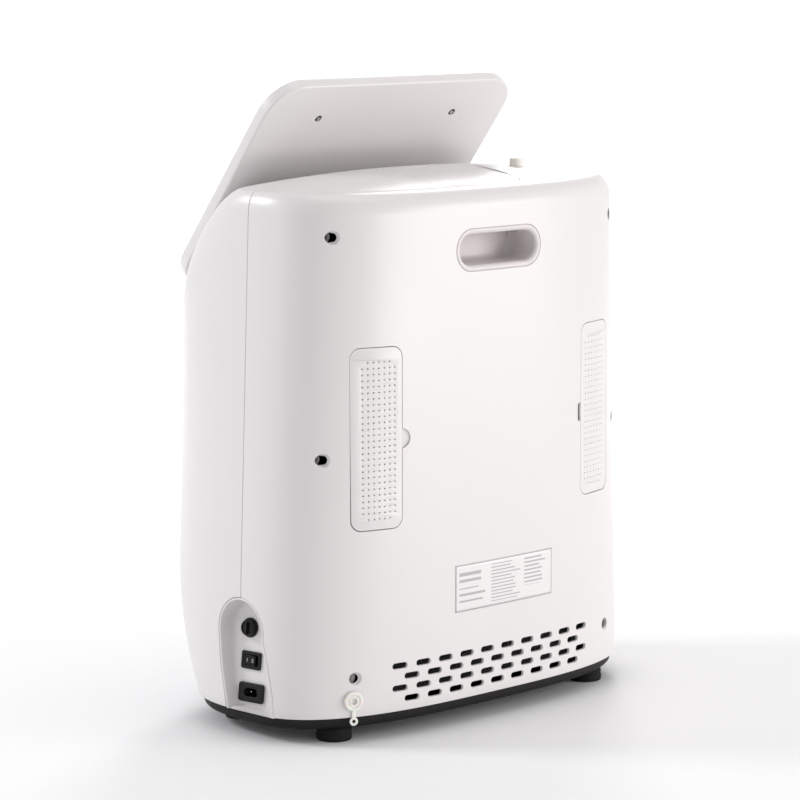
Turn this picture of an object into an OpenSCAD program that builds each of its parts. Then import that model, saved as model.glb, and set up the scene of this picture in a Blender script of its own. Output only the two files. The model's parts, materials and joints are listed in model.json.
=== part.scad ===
// Oxygen concentrator: moulded cabinet, tilted display, serviceable filters,
// power niche, humidifier under a top hatch, and the compressor and sieve system.
// The floor is z = 0, +Z is up, -Y is the front and +Y the back.

/* [Cabinet] */
// Width across the side walls at the bottom edge of the shells
cabinet_w = 496; // [480:1:510]
// Height of the shells, from their bottom edge to the crown
cabinet_h = 533; // [526:1:540]
// Depth of the rear shell from the parting seam
rear_depth = 119; // [116:1:122]
// Depth of the front shell from the parting seam
front_depth = 196; // [190:1:200]
// Wall of the moulded shells
wall = 3; // [2.5:0.1:3.5]

/* [Base] */
// Height of the rubber feet
foot_h = 15; // [12:1:18]
// Radius of the rubber feet
foot_r = 18; // [15:1:20]
// Height of the black base tray
base_h = 12; // [10:1:14]

/* [Display] */
// Width of the display panel
display_w = 341; // [330:1:360]
// Length of the display panel up its slope
display_len = 272; // [260:1:280]
// Thickness of the display panel
display_t = 13; // [11:1:14]
// Lean of the display away from upright, in degrees
display_lean = 38.4; // [37:0.1:40]

/* [Filters] */
// Height of each perforated filter cover
cover_h = 181; // [170:1:185]
// Spacing of the perforations
hole_pitch = 6; // [5.5:0.1:6.5]
// Diameter of one perforation
hole_d = 2; // [1.6:0.1:2.6]

/* [Vents] */
// Length of one exhaust slot
slot_len = 18; // [15:0.5:20]
// Height of one exhaust slot
slot_h = 6; // [4:0.5:7]

/* [Oxygen outlet] */
// Radius of the bore of the oxygen outlet
outlet_bore_r = 3; // [2.5:0.1:3.5]

/* [Hidden] */
$fn = 48;
y_shift = 40.594;
z_shift = foot_h + base_h;
// Shape of the shells
rear_power = 2.94;
front_power = 2.94;
side_taper = 0.036;
chin_h = 140;
chin_in = 52;
chin_power = 2.25;
brow_z = 397;
brow_power = 1.74;
edge_r = 22;
// Share of the edge's roundness that the side walls have
side_edge = 0.45;
crown = 14;
edge_z2 = cabinet_h - crown;
edge_z1 = edge_z2 - 21;
seam_gap = 0.15;
ring_n = 80;
cavity_n = 48;
// Display panel
display_y = -190;
display_z = 404.1;
display_r = 40;
display_screw = [94.5, 92];
glass_t = 3;
// Filter covers: the chord of the cover's outer face, seen from above
cover_x = 155.5;
cover_y = 104.7;
cover_w = 57;
cover_sag = 1.9;
cover_t = 2.5;
cover_z = 277.5;
cover_turn = -15.45;
cover_gap = 0.8;
cover_cols = 7;
cover_rows = 27;
// Handle pocket
handle_z = 457;
handle_w = 119;
handle_h = 42;
handle_gap = 0.3;
pocket_w = 107;
pocket_h = 31;
// Power niche
niche_origin = [227, -4.7, 47];
niche_turn = 10;
niche_lean = 7;
niche_top_r = 31;
niche_top_z = 81;
// Fittings on the niche's wall: along the wall, up the wall
fuse_at = [-3.1, 33];
switch_at = [1.7, 0.5];
inlet_at = [4.8, -31.8];
pin_spacing = 8.6;
// Drain
drain_at = [182.6, 98.6, 16.9];
drain_turn = -20.7;
// Top
hatch_w = 124;
hatch_y1 = 6;
hatch_y2 = 92;
hatch_gap = 0.6;
outlet_at = [-115, 28];
outlet_head_r = 7;
jar_y = 34;
// Screw wells in the rear shell, on the +X side: x, z, y of the seat
screw_wells = [[197.4, 477.3, 71], [208.3, 259.1, 67.5], [181.3, 39.1, 85.5]];
// Feet: x, y
foot_spots = [[182, 70], [-182, 70], [190, -62], [-190, -62]];
// Compressor
comp_y = -10;
comp_z = 85;
cyl_x = 66;
piston_r = 20;
stroke_half = 5;
// Shelf and what stands on it
shelf_z = 222;
shelf_t = 3;
fan_y = -20;
bed_x = 75;
bed_y = -80;
bed_r = 38;
manifold_z = 232;
spool_z = manifold_z + 15;
spool_y = 20;

// ---- Form of the cabinet: rings of a superellipse, inset by o from the outer surface ----

function edge_inset(z, o) = z <= edge_z1 - o ? 0
  : edge_r - sqrt(max(0, pow(edge_r, 2) - pow(edge_r * min(1, (z - edge_z1 + o) / (edge_z2 - edge_z1)), 2)));
function crown_k(z, o) = z <= edge_z2 - o ? 1 : sqrt(max(0.0004, 1 - (z - edge_z2 + o) / crown));
function half_w(z, o) = (cabinet_w / 2 - side_taper * z - o - side_edge * edge_inset(z, o)) * crown_k(z, o);
function rear_d(z, o) = (rear_depth - o - edge_inset(z, o)) * crown_k(z, o);
function brow_t(z, o) = max(0, (min(z, edge_z2 - o) - brow_z + o) / (cabinet_h - brow_z));
function brow_k(z, o) = pow(max(0, 1 - pow(brow_t(z, o), brow_power)), 1 / brow_power);
function front_d(z, o) = z < chin_h ? front_depth - o - chin_in * pow((chin_h - z) / chin_h, chin_power)
  : z < brow_z - o ? front_depth - o
  : (front_depth - o) * brow_k(z, o) * crown_k(z, o);
function signed_pow(v, p) = sign(v) * pow(abs(v), p);
function ring(z, o, n) = [for (i = [0 : n - 1])
  let (a = i * 360 / n, p = 2 / (i * 2 < n ? rear_power : front_power))
  [half_w(z, o) * signed_pow(cos(a), p),
   (i * 2 < n ? rear_d(z, o) : front_d(z, o)) * signed_pow(sin(a), p), z]];
function heights(o, low) = concat(
  [for (z = [low : 20 : chin_h]) z],
  [for (i = [0 : 6]) brow_z - o + i * (edge_z1 - brow_z) / 7],
  [for (i = [0 : 4]) edge_z1 - o + (edge_z2 - edge_z1) * sin(i * 20)],
  [for (k = [0.85, 0.6, 0.3, 0.02]) edge_z2 - o + crown * (1 - k * k)]);

// One closed solid through all the rings
module loft(o, n, low) {
  zs = heights(o, low);
  m = len(zs);
  points = [for (z = zs) each ring(z, o, n)];
  sides = [for (j = [0 : m - 2], i = [0 : n - 1])
    [j * n + i, (j + 1) * n + i, (j + 1) * n + (i + 1) % n, j * n + (i + 1) % n]];
  low_cap = [for (i = [0 : n - 1]) i];
  high_cap = [for (i = [n - 1 : -1 : 0]) (m - 1) * n + i];
  polyhedron(points = points, faces = concat(sides, [low_cap], [high_cap]), convexity = 6);
}

// Cabinet solid with the flat seat that the display lies on
module cabinet_form(o, n, low) {
  difference() {
    loft(o, n, low);
    at_display()
      translate([-300, -250 + o, -150])
        cube([600, 250, 500]);
  }
}

// Freeform subtrees are combined as one mesh
module one_mesh() {
  resize([0, 0, 0])
    children();
}

// ---- Local frames ----

module place() {
  translate([0, y_shift, z_shift])
    children();
}

// x across, z up the slope, y through the panel towards the cabinet
module at_display() {
  translate([0, display_y, display_z])
    rotate([-display_lean, 0, 0])
      children();
}

// x along the cover, y out of the cabinet, z up from the cover's middle
module at_filter(side) {
  mirror([side < 0 ? 1 : 0, 0, 0])
    translate([cover_x, cover_y, cover_z])
      rotate([0, 0, cover_turn])
        children();
}

// x out of the niche's wall, y along the wall towards the back, z up the wall
module at_niche(spot) {
  translate(niche_origin)
    rotate([0, -niche_lean, niche_turn])
      translate([0, spot[0], spot[1]])
        children();
}

// y out of the cabinet
module at_drain() {
  translate(drain_at)
    rotate([0, 0, drain_turn])
      children();
}

module along_x(h, r) {
  rotate([0, 90, 0])
    cylinder(r = r, h = h);
}

module along_y(h, r) {
  rotate([-90, 0, 0])
    cylinder(r = r, h = h);
}

// Plate in the x-z plane with round corners, its front face at y = 0
module round_plate(w, h, t, r) {
  rotate([90, 0, 0])
    translate([0, 0, -t])
      linear_extrude(t)
        round_square(w, h, r);
}

module round_square(w, h, r) {
  square([w - 2 * r, h], center = true);
  square([w, h - 2 * r], center = true);
  for (x = [-1, 1], y = [-1, 1])
    translate([x * (w / 2 - r), y * (h / 2 - r)])
      circle(r);
}

// Racetrack slot cut along y, its ends of low resolution where it repeats often
module slot_cut(w, h, y1, y2, n = 32) {
  translate([0, y2, 0])
    rotate([90, 0, 0])
      linear_extrude(y2 - y1) {
        square([w - h, h], center = true);
        for (s = [-1, 1])
          translate([s * (w - h) / 2, 0])
            circle(h / 2, $fn = n);
      }
}

// Arch of the power niche in the y-z plane, grown by g, from x1 to x2
module niche_arch(g, x1, x2) {
  arc = [for (a = [0 : 12 : 180]) [(niche_top_r + g) * cos(a), niche_top_z + (niche_top_r + g) * sin(a)]];
  translate([x1, 0, 0])
    rotate([90, 0, 90])
      linear_extrude(x2 - x1)
        polygon(concat([[45 + g, -1]], arc, [[-16 - g, -1]]));
}

// ---- Cabinet ----

module vent_cuts() {
  for (row = [0 : 3], i = [0 : row % 2 == 0 ? 9 : 8])
    translate([(i - (row % 2 == 0 ? 4.5 : 4)) * 29.1, 0, 46.2 - row * 11.4])
      slot_cut(slot_len, slot_h, 80, 130, 8);
}

module handle_cut() {
  translate([0, 0, handle_z])
    slot_cut(handle_w + 2 * handle_gap, handle_h + 2 * handle_gap, 90, 130);
}

module cover_opening(side) {
  at_filter(side) {
    translate([0, -15, 0])
      round_plate(cover_w + 2 * cover_gap, cover_h + 2 * cover_gap, 40, 11.5);
    translate([-cover_w / 2, -15, -1.5])
      intersection() {
        along_y(40, 10.5);
        translate([-10.5, 0, -10.5])
          cube([11, 40, 21]);
      }
  }
}

module hatch_block(g, z1, z2) {
  translate([0, (hatch_y1 + hatch_y2) / 2, z1])
    linear_extrude(z2 - z1)
      round_square(hatch_w + 2 * g, hatch_y2 - hatch_y1 + 2 * g, 12 + g);
}

module rear_bosses() {
  for (s = [-1, 1], w = screw_wells)
    translate([s * w[0], 3, w[1]])
      along_y(100, 7);
}

module rear_boss_cuts() {
  for (s = [-1, 1], w = screw_wells)
    translate([s * w[0], 0, w[1]]) {
      along_y(130, 2.4);
      translate([0, w[2], 0])
        along_y(130, 4.3);
    }
}

module rear_shell() {
  color("whitesmoke")
    place()
      one_mesh()
        difference() {
          intersection() {
            cabinet_form(0, ring_n, 0);
            translate([-300, seam_gap, -10])
              cube([600, 300, 600]);
            union() {
              difference() {
                translate([-299, 0, -1])
                  cube([598, 299, 598]);
                cabinet_form(wall, cavity_n, -20);
              }
              rear_bosses();
            }
          }
          rear_boss_cuts();
          vent_cuts();
          handle_cut();
          cover_opening(1);
          cover_opening(-1);
          niche_arch(2.6, 205, 260);
          hatch_block(hatch_gap, 480, 560);
          translate([outlet_at[0], outlet_at[1], 480])
            cylinder(r = outlet_head_r + 0.5, h = 80);
          at_drain()
            translate([0, -20, 0])
              along_y(40, 8);
        }
}

module front_shell() {
  color("whitesmoke")
    place()
      one_mesh()
        difference() {
          intersection() {
            cabinet_form(0, ring_n, 0);
            translate([-300, -300 - seam_gap, -10])
              cube([600, 300, 600]);
            union() {
              difference() {
                translate([-299, -299, -1])
                  cube([598, 299, 598]);
                cabinet_form(wall, cavity_n, -20);
              }
              for (s = [-1, 1], w = screw_wells)
                translate([s * w[0], -40, w[1]]) {
                  along_y(37, 7);
                  translate([s > 0 ? 4 : -64, 0, -1.5])
                    cube([60, 30, 3]);
                }
            }
          }
          for (s = [-1, 1], w = screw_wells)
            translate([s * w[0], -30, w[1]])
              along_y(40, 1.6);
          niche_arch(2.6, 205, 260);
          at_display()
            for (x = [-60, 60], z = [40, 70])
              translate([x, -1, z])
                along_y(10, 2.3);
        }
}

module base_outline(inset) {
  polygon([for (p = ring(0, inset, ring_n)) [p[0], p[1]]]);
}

module base_tray() {
  color("#1c1c1e")
    place()
      difference() {
        union() {
          translate([0, 0, -base_h])
            linear_extrude(2)
              base_outline(8);
          translate([0, 0, 2 - base_h])
            linear_extrude(2)
              base_outline(6);
          translate([0, 0, 4 - base_h])
            linear_extrude(base_h - 4)
              difference() {
                base_outline(4.5);
                base_outline(9);
              }
        }
        for (f = foot_spots)
          translate([f[0], f[1], -base_h - 1])
            cylinder(r = 3.2, h = 6);
      }
}

module rubber_feet() {
  color("#161616")
    place()
      for (f = foot_spots)
        translate([f[0], f[1], -z_shift])
          difference() {
            union() {
              cylinder(r = foot_r, h = foot_h - 3);
              translate([0, 0, foot_h - 3])
                cylinder(r = foot_r - 2, h = 3);
            }
            translate([0, 0, -1])
              cylinder(r = 6.5, h = 11);
            cylinder(r = 3.2, h = foot_h + 1);
          }
}

module foot_screws() {
  color("silver")
    place()
      for (f = foot_spots)
        translate([f[0], f[1], -z_shift + 7]) {
          cylinder(r = 6, h = 3);
          cylinder(r = 3, h = 18);
        }
}

module shell_screws() {
  color("silver")
    place()
      for (s = [-1, 1], w = screw_wells)
        translate([s * w[0], 0, w[1]]) {
          translate([0, -25, 0])
            along_y(w[2] + 25, 1.5);
          translate([0, w[2], 0])
            along_y(3, 3.8);
        }
}

// ---- Filters ----

module cover_plate() {
  chord_r = (pow(cover_w / 2, 2) + pow(cover_sag, 2)) / (2 * cover_sag);
  difference() {
    intersection() {
      translate([0, cover_sag - chord_r, -cover_h / 2])
        difference() {
          cylinder(r = chord_r, h = cover_h, $fn = 360);
          translate([0, 0, -1])
            cylinder(r = chord_r - cover_t, h = cover_h + 2, $fn = 360);
        }
      translate([0, -10, 0])
        round_plate(cover_w, cover_h, 20, 11);
    }
    for (col = [0 : cover_cols - 1], row = [0 : cover_rows - 1])
      if ((col > 0 && col < cover_cols - 1) || (row > 0 && row < cover_rows - 1))
        translate([(col - 3) * hole_pitch - 1.85, -10, (row - 13) * hole_pitch - 1.8])
          along_y(20, hole_d / 2, $fn = 16);
  }
}

module filter_cover(side) {
  color("whitesmoke")
    place()
      at_filter(side)
        cover_plate();
}

module filter_cover_left() {
  filter_cover(1);
}

module filter_cover_right() {
  filter_cover(-1);
}

module filter_foam(side) {
  color("dimgray")
    place()
      at_filter(side)
        translate([0, -19, 0])
          round_plate(cover_w - 8, cover_h - 8, 11, 6);
}

module filter_foam_left() {
  filter_foam(1);
}

module filter_foam_right() {
  filter_foam(-1);
}

// Tray behind the opening: a flange, four walls and a slotted back
module filter_frame(side) {
  color("gainsboro")
    place()
      at_filter(side)
        difference() {
          union() {
            translate([-5.5, -9, 0])
              round_plate(cover_w + 16, cover_h + 12, 2.4, 12);
            translate([0, -22, 0])
              round_plate(cover_w + 1, cover_h + 1, 14, 8);
          }
          translate([0, -20, 0])
            round_plate(cover_w - 4, cover_h - 4, 20, 7);
          for (z = [-70 : 20 : 70])
            translate([0, -30, z])
              slot_cut(44, 10, 0, 20);
        }
}

module filter_frame_left() {
  filter_frame(1);
}

module filter_frame_right() {
  filter_frame(-1);
}

// ---- Handle ----

// Rim in the rear shell and the pocket behind it, with room for the fingers to curl up inside
module handle_insert() {
  color("#a9a9ab")
    place()
      translate([0, 0, handle_z])
        difference() {
          union() {
            slot_cut(pocket_w + 6, pocket_h + 6, 76, 117);
            slot_cut(handle_w, handle_h, 113.5, rear_depth - 0.5);
            translate([-52, 76, 0])
              cube([104, 24, 47]);
          }
          slot_cut(pocket_w, pocket_h, 79, 120);
          hull() {
            slot_cut(handle_w - 4, handle_h - 4, rear_depth - 0.5, rear_depth + 3);
            slot_cut(pocket_w, pocket_h, rear_depth - 4.5, rear_depth - 4.3);
          }
          translate([-49, 79, 0])
            cube([98, 18, 44]);
        }
}

// ---- Power niche ----

module power_niche() {
  color("gainsboro")
    place()
      one_mesh()
        difference() {
          intersection() {
            niche_arch(2.4, 205, 260);
            cabinet_form(0, ring_n, 0);
          }
          niche_front();
          at_niche([0, 0])
            translate([-43, -80, -70])
              cube([40, 160, 160]);
          at_niche(fuse_at)
            translate([-5, 0, 0])
              along_x(10, 7.2);
          at_niche(switch_at)
            translate([-5, -9.6, -6.6])
              cube([10, 19.2, 13.2]);
          at_niche(inlet_at)
            translate([-5, -12, -7])
              cube([10, 24, 14]);
        }
}

// All that lies in front of the niche's wall
module niche_front() {
  intersection() {
    niche_arch(0, 205, 262);
    at_niche([0, 0])
      translate([0, -80, -70])
        cube([80, 160, 160]);
  }
}

module fuse_holder() {
  color("#1a1a1a")
    place()
      at_niche(fuse_at)
        difference() {
          union() {
            along_x(2, 10);
            translate([-30, 0, 0])
              along_x(31, 7);
          }
          translate([-28, 0, 0])
            along_x(40, 5.6);
        }
}

module fuse_clip() {
  color("silver")
    place()
      at_niche(fuse_at)
        translate([-26, 0, 0])
          difference() {
            along_x(22, 5);
            translate([-1, 0, 0])
              along_x(20, 3);
          }
}

module glass_fuse() {
  color("lightcyan")
    place()
      at_niche(fuse_at)
        translate([-26.5, 0, 0])
          along_x(19, 2.6);
}

module fuse_cap() {
  color("#141414")
    place()
      at_niche(fuse_at)
        difference() {
          union() {
            translate([-3.6, 0, 0])
              along_x(6, 5.2);
            translate([2.3, 0, 0])
              along_x(4.5, 8.2);
            translate([6.5, -1.5, -7])
              cube([2.5, 3, 14]);
          }
          translate([-4.6, 0, 0])
            along_x(3, 3);
        }
}

module switch_body() {
  color("#1a1a1a")
    place()
      at_niche(switch_at)
        difference() {
          union() {
            rotate([0, 0, -90])
              round_plate(25, 18, 2, 2);
            translate([-20, -9.4, -6.4])
              cube([20.5, 18.8, 12.8]);
          }
          translate([-8, -8.4, -5.4])
            cube([20, 16.8, 10.8]);
        }
}

// Rocker with a bent top face, which turns on an upright axis
module switch_rocker() {
  color("#101010")
    place()
      at_niche(switch_at)
        rotate([0, 0, -12])
          translate([0, 0, -5])
            linear_extrude(10)
              polygon([[-4, -3], [1.5, -7.6], [4, -7.4], [2.4, 0], [4, 7.4], [1.5, 7.6], [-4, 3]]);
}

module inlet_body() {
  color("#1a1a1a")
    place()
      at_niche(inlet_at)
        difference() {
          union() {
            rotate([0, 0, -90])
              round_plate(32, 19.5, 3, 3);
            translate([-20, -11.8, -6.8])
              cube([20.5, 23.6, 13.6]);
          }
          rotate([0, 0, -90])
            slot_cut(17, 8.4, -12, 16);
          for (s = [-1, 1])
            translate([-23, s * pin_spacing / 2, 0])
              along_x(20, 1.25);
        }
}

module inlet_pins() {
  color("silver")
    place()
      at_niche(inlet_at)
        for (s = [-1, 1])
          translate([-22, s * pin_spacing / 2, 0])
            along_x(19, 1.2);
}

// ---- Drain ----

module drain_spout() {
  color("#e8e6dc")
    place()
      at_drain()
        difference() {
          union() {
            translate([0, -26, 0])
              along_y(26.6, 7.5);
            translate([0, -8, 0])
              along_y(3, 10);
          }
          translate([0, -23, 0])
            along_y(40, 5);
        }
}

module drain_plug() {
  color("#e9e7de")
    place()
      at_drain()
        difference() {
          union() {
            translate([0, -10, 0])
              along_y(14, 4.95);
            translate([0, 1.4, 0])
              along_y(3.2, 10);
            translate([-4, 1.6, -25])
              cube([8, 2, 18]);
          }
          translate([0, 1, 0])
            along_y(10, 3.4);
        }
}

// ---- Label ----

module rating_label() {
  color("lightgray")
    place()
      one_mesh()
        difference() {
          intersection() {
            cabinet_form(-0.4, ring_n, 0);
            translate([-9.9, 80, 114.4])
              round_plate(141, 49, 60, 3);
          }
          cabinet_form(-0.01, ring_n, -20);
        }
}

// ---- Display ----

module display_housing() {
  color("whitesmoke")
    place()
      at_display()
        translate([0, 0, display_len / 2])
          difference() {
            translate([0, -display_t, 0])
              round_plate(display_w, display_len, display_t, display_r);
            translate([0, -display_t - 1, 0])
              round_plate(display_w - 5, display_len - 5, display_t - 1.5, display_r - 2.5);
            for (s = [-1, 1])
              translate([s * display_screw[0], -6, display_screw[1]])
                along_y(10, 2.2);
            for (x = [-60, 60], z = [40, 70])
              translate([x, -6, z - display_len / 2])
                along_y(10, 2.3);
          }
}

module display_glass() {
  color("#20242a")
    place()
      at_display()
        translate([0, -display_t, display_len / 2])
          round_plate(display_w - 5.6, display_len - 5.6, glass_t, display_r - 2.8);
}

module display_board() {
  color("darkgreen")
    place()
      at_display()
        translate([0, -display_t, display_len / 2]) {
          translate([0, 6.6, 0])
            round_plate(200, 130, 1.6, 4);
          translate([0, 3.4, 0])
            round_plate(160, 90, 3.2, 3);
        }
}

module display_screws() {
  color("#333333")
    place()
      at_display()
        for (s = [-1, 1])
          translate([s * display_screw[0], -3.4, display_len / 2 + display_screw[1]])
            along_y(3, 2);
}

// Plate inside the shell whose four studs hold the display
module display_bracket() {
  color("silver")
    place()
      at_display() {
        translate([0, 3.4, 55])
          round_plate(150, 46, 2.5, 4);
        for (x = [-60, 60], z = [40, 70])
          translate([x, -3.2, z])
            along_y(8, 2);
      }
}

// ---- Top ----

module top_hatch() {
  color("whitesmoke")
    place()
      one_mesh()
        difference() {
          intersection() {
            cabinet_form(0, ring_n, 0);
            hatch_block(0, 490, 560);
          }
          cabinet_form(wall, cavity_n, -20);
          translate([0, hatch_y2 + 6, edge_z2 + 12])
            sphere(15);
        }
}

// Cup on three posts that stand on the shelf
module humidifier_well() {
  color("lightgray")
    place()
      translate([0, jar_y, 345]) {
        difference() {
          cylinder(r = 40.5, h = 155);
          translate([0, 0, 3])
            cylinder(r = 38, h = 160);
        }
        for (p = [[28, 26], [-28, 26], [0, -39.5]])
          translate([p[0], p[1], shelf_z + shelf_t - 345])
            cylinder(r = 4, h = 346 - shelf_z - shelf_t);
      }
}

module humidifier_jar() {
  color("lightblue")
    place()
      translate([0, jar_y, 348.5])
        difference() {
          cylinder(r = 35, h = 120);
          translate([0, 0, 2.5])
            cylinder(r = 32.5, h = 120);
        }
}

module jar_lid() {
  color("white")
    place()
      translate([0, jar_y, 468.5])
        difference() {
          union() {
            cylinder(r = 36.5, h = 14);
            translate([0, 0, -8])
              cylinder(r = 32.3, h = 9);
            translate([14, 0, 13])
              cylinder(r = 4, h = 14);
            translate([-14, 0, 13])
              cylinder(r = 4, h = 14);
          }
          translate([14, 0, -9])
            cylinder(r = 2, h = 40);
          translate([-14, 0, -9])
            cylinder(r = 2.6, h = 26);
          translate([-14, 0, -9])
            cylinder(r = 2, h = 40);
        }
}

module dip_tube() {
  color("aliceblue")
    place()
      translate([-14, jar_y, 358])
        difference() {
          cylinder(r = 2.55, h = 125);
          translate([0, 0, -1])
            cylinder(r = 1.5, h = 130);
        }
}

module oxygen_outlet() {
  color("ivory")
    place()
      translate([outlet_at[0], outlet_at[1], 500.4])
        difference() {
          union() {
            cylinder(r = 5, h = 14);
            translate([0, 0, 14])
              cylinder(r = 11, h = 3);
            translate([0, 0, 16])
              cylinder(r = outlet_head_r, h = 21);
          }
          translate([0, 0, 25])
            cylinder(r = outlet_bore_r, h = 13);
          translate([0, 0, -1])
            cylinder(r = 1.5, h = 30);
        }
}

// ---- Compressor ----

module motor_housing() {
  color("darkgray")
    place()
      translate([0, comp_y, comp_z])
        difference() {
          translate([-42, 0, 0])
            along_x(84, 45);
          translate([-38, 0, 0])
            along_x(76, 40);
          translate([-50, 0, 0])
            along_x(100, 6.05);
          for (i = [-2 : 2])
            translate([i * 14 - 3, 0, 0])
              difference() {
                along_x(6, 50);
                along_x(6, 42.5);
              }
        }
}

// Rotor, shaft, and an eccentric in each crankcase
module crank_rotor() {
  color("slategray")
    place()
      translate([0, comp_y, comp_z]) {
        translate([-84, 0, 0])
          along_x(168, 6);
        translate([-30, 0, 0])
          along_x(60, 30);
        for (s = [-1, 1])
          translate([s * cyl_x - 6, s * stroke_half, 0])
            along_x(12, 14);
      }
}

module crankcases() {
  color("silver")
    place()
      for (s = [-1, 1])
        translate([s * cyl_x, comp_y, comp_z])
          difference() {
            union() {
              translate([-22, -32, -44])
                cube([44, 64, 76]);
              translate([0, 0, 31])
                cylinder(r = 23.5, h = 50);
            }
            translate([-18, -26, -38])
              cube([36, 52, 64]);
            translate([0, 0, 20])
              cylinder(r = piston_r + 0.05, h = 62);
            translate([-30, 0, 0])
              along_x(60, 6.05);
          }
}

module cylinder_heads() {
  color("darkgray")
    place()
      for (s = [-1, 1])
        translate([s * cyl_x, comp_y, comp_z + 81])
          difference() {
            union() {
              translate([-27, -27, 0])
                cube([54, 54, 8]);
              for (i = [-3 : 3])
                translate([i * 7.5 - 1.5, -25, 7])
                  cube([3, 50, 14]);
            }
            for (x = [-22, 22], y = [-22, 22])
              translate([x, y, -1])
                cylinder(r = 2.2, h = 30);
          }
}

module piston(side) {
  color("gainsboro")
    place()
      translate([side * cyl_x, comp_y, comp_z]) {
        translate([0, 0, 56])
          cylinder(r = piston_r, h = 18);
        translate([-4, -5, 27])
          cube([8, 10, 30]);
      }
}

module piston_left() {
  piston(1);
}

module piston_right() {
  piston(-1);
}

module vibration_mounts() {
  color("#2b2b2b")
    place()
      for (x = [-90, 90], y = [-45, 25])
        translate([x, y, 4 - base_h]) {
          cylinder(r = 13, h = 12);
          translate([0, 0, 11])
            cylinder(r = 9, h = 14);
          translate([0, 0, 24])
            cylinder(r = 13, h = 12);
        }
}

module cradle() {
  color("silver")
    place()
      translate([0, comp_y, 28])
        difference() {
          union() {
            translate([-108, -50, 0])
              cube([216, 100, 3]);
            for (s = [-1, 1])
              translate([s * cyl_x - 20, -30, 2])
                cube([40, 60, 11]);
          }
          translate([-35, -30, -1])
            cube([70, 60, 5]);
        }
}

// ---- Chassis and gas system ----

module chassis() {
  color("lightgray")
    place()
      difference() {
        union() {
          translate([0, -27.5, shelf_z])
            linear_extrude(shelf_t)
              round_square(420, 195, 30);
          for (p = [[158, 53], [-172, 53], [183, -67], [-197, -67]])
            translate([p[0], p[1], 4 - base_h])
              cube([14, 14, shelf_z + base_h - 3.5]);
        }
        translate([0, fan_y, shelf_z - 1])
          cylinder(r = 56, h = 10);
        for (f = foot_spots)
          translate([f[0], f[1], -base_h])
            cylinder(r = 3.2, h = 12);
        for (x = [-150, 150])
          translate([x, -20, shelf_z - 1])
            cylinder(r = 16, h = 10);
      }
}

module fan_frame() {
  color("#232323")
    place()
      translate([0, fan_y, shelf_z - 25.5])
        difference() {
          translate([-60, -60, 0])
            cube([120, 120, 25]);
          translate([0, 0, 3])
            cylinder(r = 57, h = 30);
          difference() {
            translate([0, 0, -1])
              cylinder(r = 57, h = 6);
            translate([0, 0, -2])
              cylinder(r = 22, h = 8);
            for (a = [0, 90])
              rotate([0, 0, a])
                translate([-60, -3, -2])
                  cube([120, 6, 8]);
          }
          for (x = [-52.5, 52.5], y = [-52.5, 52.5])
            translate([x, y, -1])
              cylinder(r = 2.2, h = 30);
          translate([0, 0, -1])
            cylinder(r = 3.05, h = 30);
        }
}

module fan_rotor() {
  color("#101010")
    place()
      translate([0, fan_y, shelf_z - 25.5]) {
        translate([0, 0, 4])
          cylinder(r = 21, h = 19);
        cylinder(r = 3, h = 5);
        for (i = [0 : 6])
          rotate([0, 0, i * 360 / 7])
            translate([19, -3, 5.5])
              rotate([35, 0, 0])
                cube([34, 14, 2]);
      }
}

module sieve_beds() {
  color("whitesmoke")
    place()
      for (s = [-1, 1])
        translate([s * bed_x, bed_y, 237])
          difference() {
            cylinder(r = bed_r - 2, h = 150);
            translate([0, 0, -1])
              cylinder(r = bed_r - 4, h = 152);
          }
}

module bed_caps() {
  color("dimgray")
    place()
      for (s = [-1, 1])
        translate([s * bed_x, bed_y, 0]) {
          translate([0, 0, shelf_z + shelf_t])
            cylinder(r = bed_r, h = 12);
          translate([0, 0, 387])
            cylinder(r = bed_r, h = 10);
          translate([0, 0, 397])
            cylinder(r = 5, h = 14);
        }
}

module product_tank() {
  color("white")
    place()
      translate([0, -95, shelf_z + shelf_t])
        difference() {
          union() {
            cylinder(r = 30, h = 140);
            cylinder(r = 5, h = 152);
          }
          translate([0, 0, 3])
            cylinder(r = 27, h = 134);
        }
}

module valve_manifold() {
  color("silver")
    place()
      difference() {
        translate([-58, 0, shelf_z + shelf_t])
          cube([116, 40, 37]);
        translate([-59, spool_y, spool_z])
          along_x(118, 6.05);
      }
}

module solenoid_coils() {
  color("#2a2a2a")
    place()
      for (x = [-42, -14, 14, 42])
        translate([x, spool_y, shelf_z + shelf_t + 37]) {
          translate([-11, -11, 0])
            cube([22, 22, 26]);
          translate([0, 0, 25])
            cylinder(r = 5, h = 5);
        }
}

module valve_spool() {
  color("gainsboro")
    place()
      translate([-50, spool_y, spool_z]) {
        along_x(100, 3.5);
        for (x = [0, 28, 60, 88])
          translate([x, 0, 0])
            along_x(12, 6);
      }
}

module flow_sensor() {
  color("seagreen")
    place()
      translate([outlet_at[0], outlet_at[1], 430]) {
        translate([-14, -12, 0])
          cube([28, 24, 40]);
        translate([0, 0, 39])
          cylinder(r = 3, h = 14);
      }
}

// Upright serpentine that cools the compressed air
module cooling_coil() {
  runs = 6;
  pitch = 20;
  color("#b87333")
    place()
      translate([-140, -40, 45]) {
        for (i = [0 : runs - 1])
          translate([0, 0, i * pitch])
            along_y(70, 4);
        for (i = [0 : runs - 2])
          translate([0, i % 2 == 0 ? 70 : 0, (i + 0.5) * pitch])
            rotate([90, 0, 90])
              rotate([0, 0, i % 2 == 0 ? -90 : 90])
                rotate_extrude(angle = 180)
                  translate([pitch / 2, 0])
                    circle(4);
      }
}

module intake_silencer() {
  color("#3a3a3c")
    place()
      difference() {
        union() {
          translate([120, -60, 110])
            cube([46, 80, 90]);
          translate([143, -20, 199])
            cylinder(r = 12, h = 18);
        }
        translate([123, -57, 113])
          cube([40, 74, 84]);
        translate([143, -20, 190])
          cylinder(r = 9, h = 40);
      }
}

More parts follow.
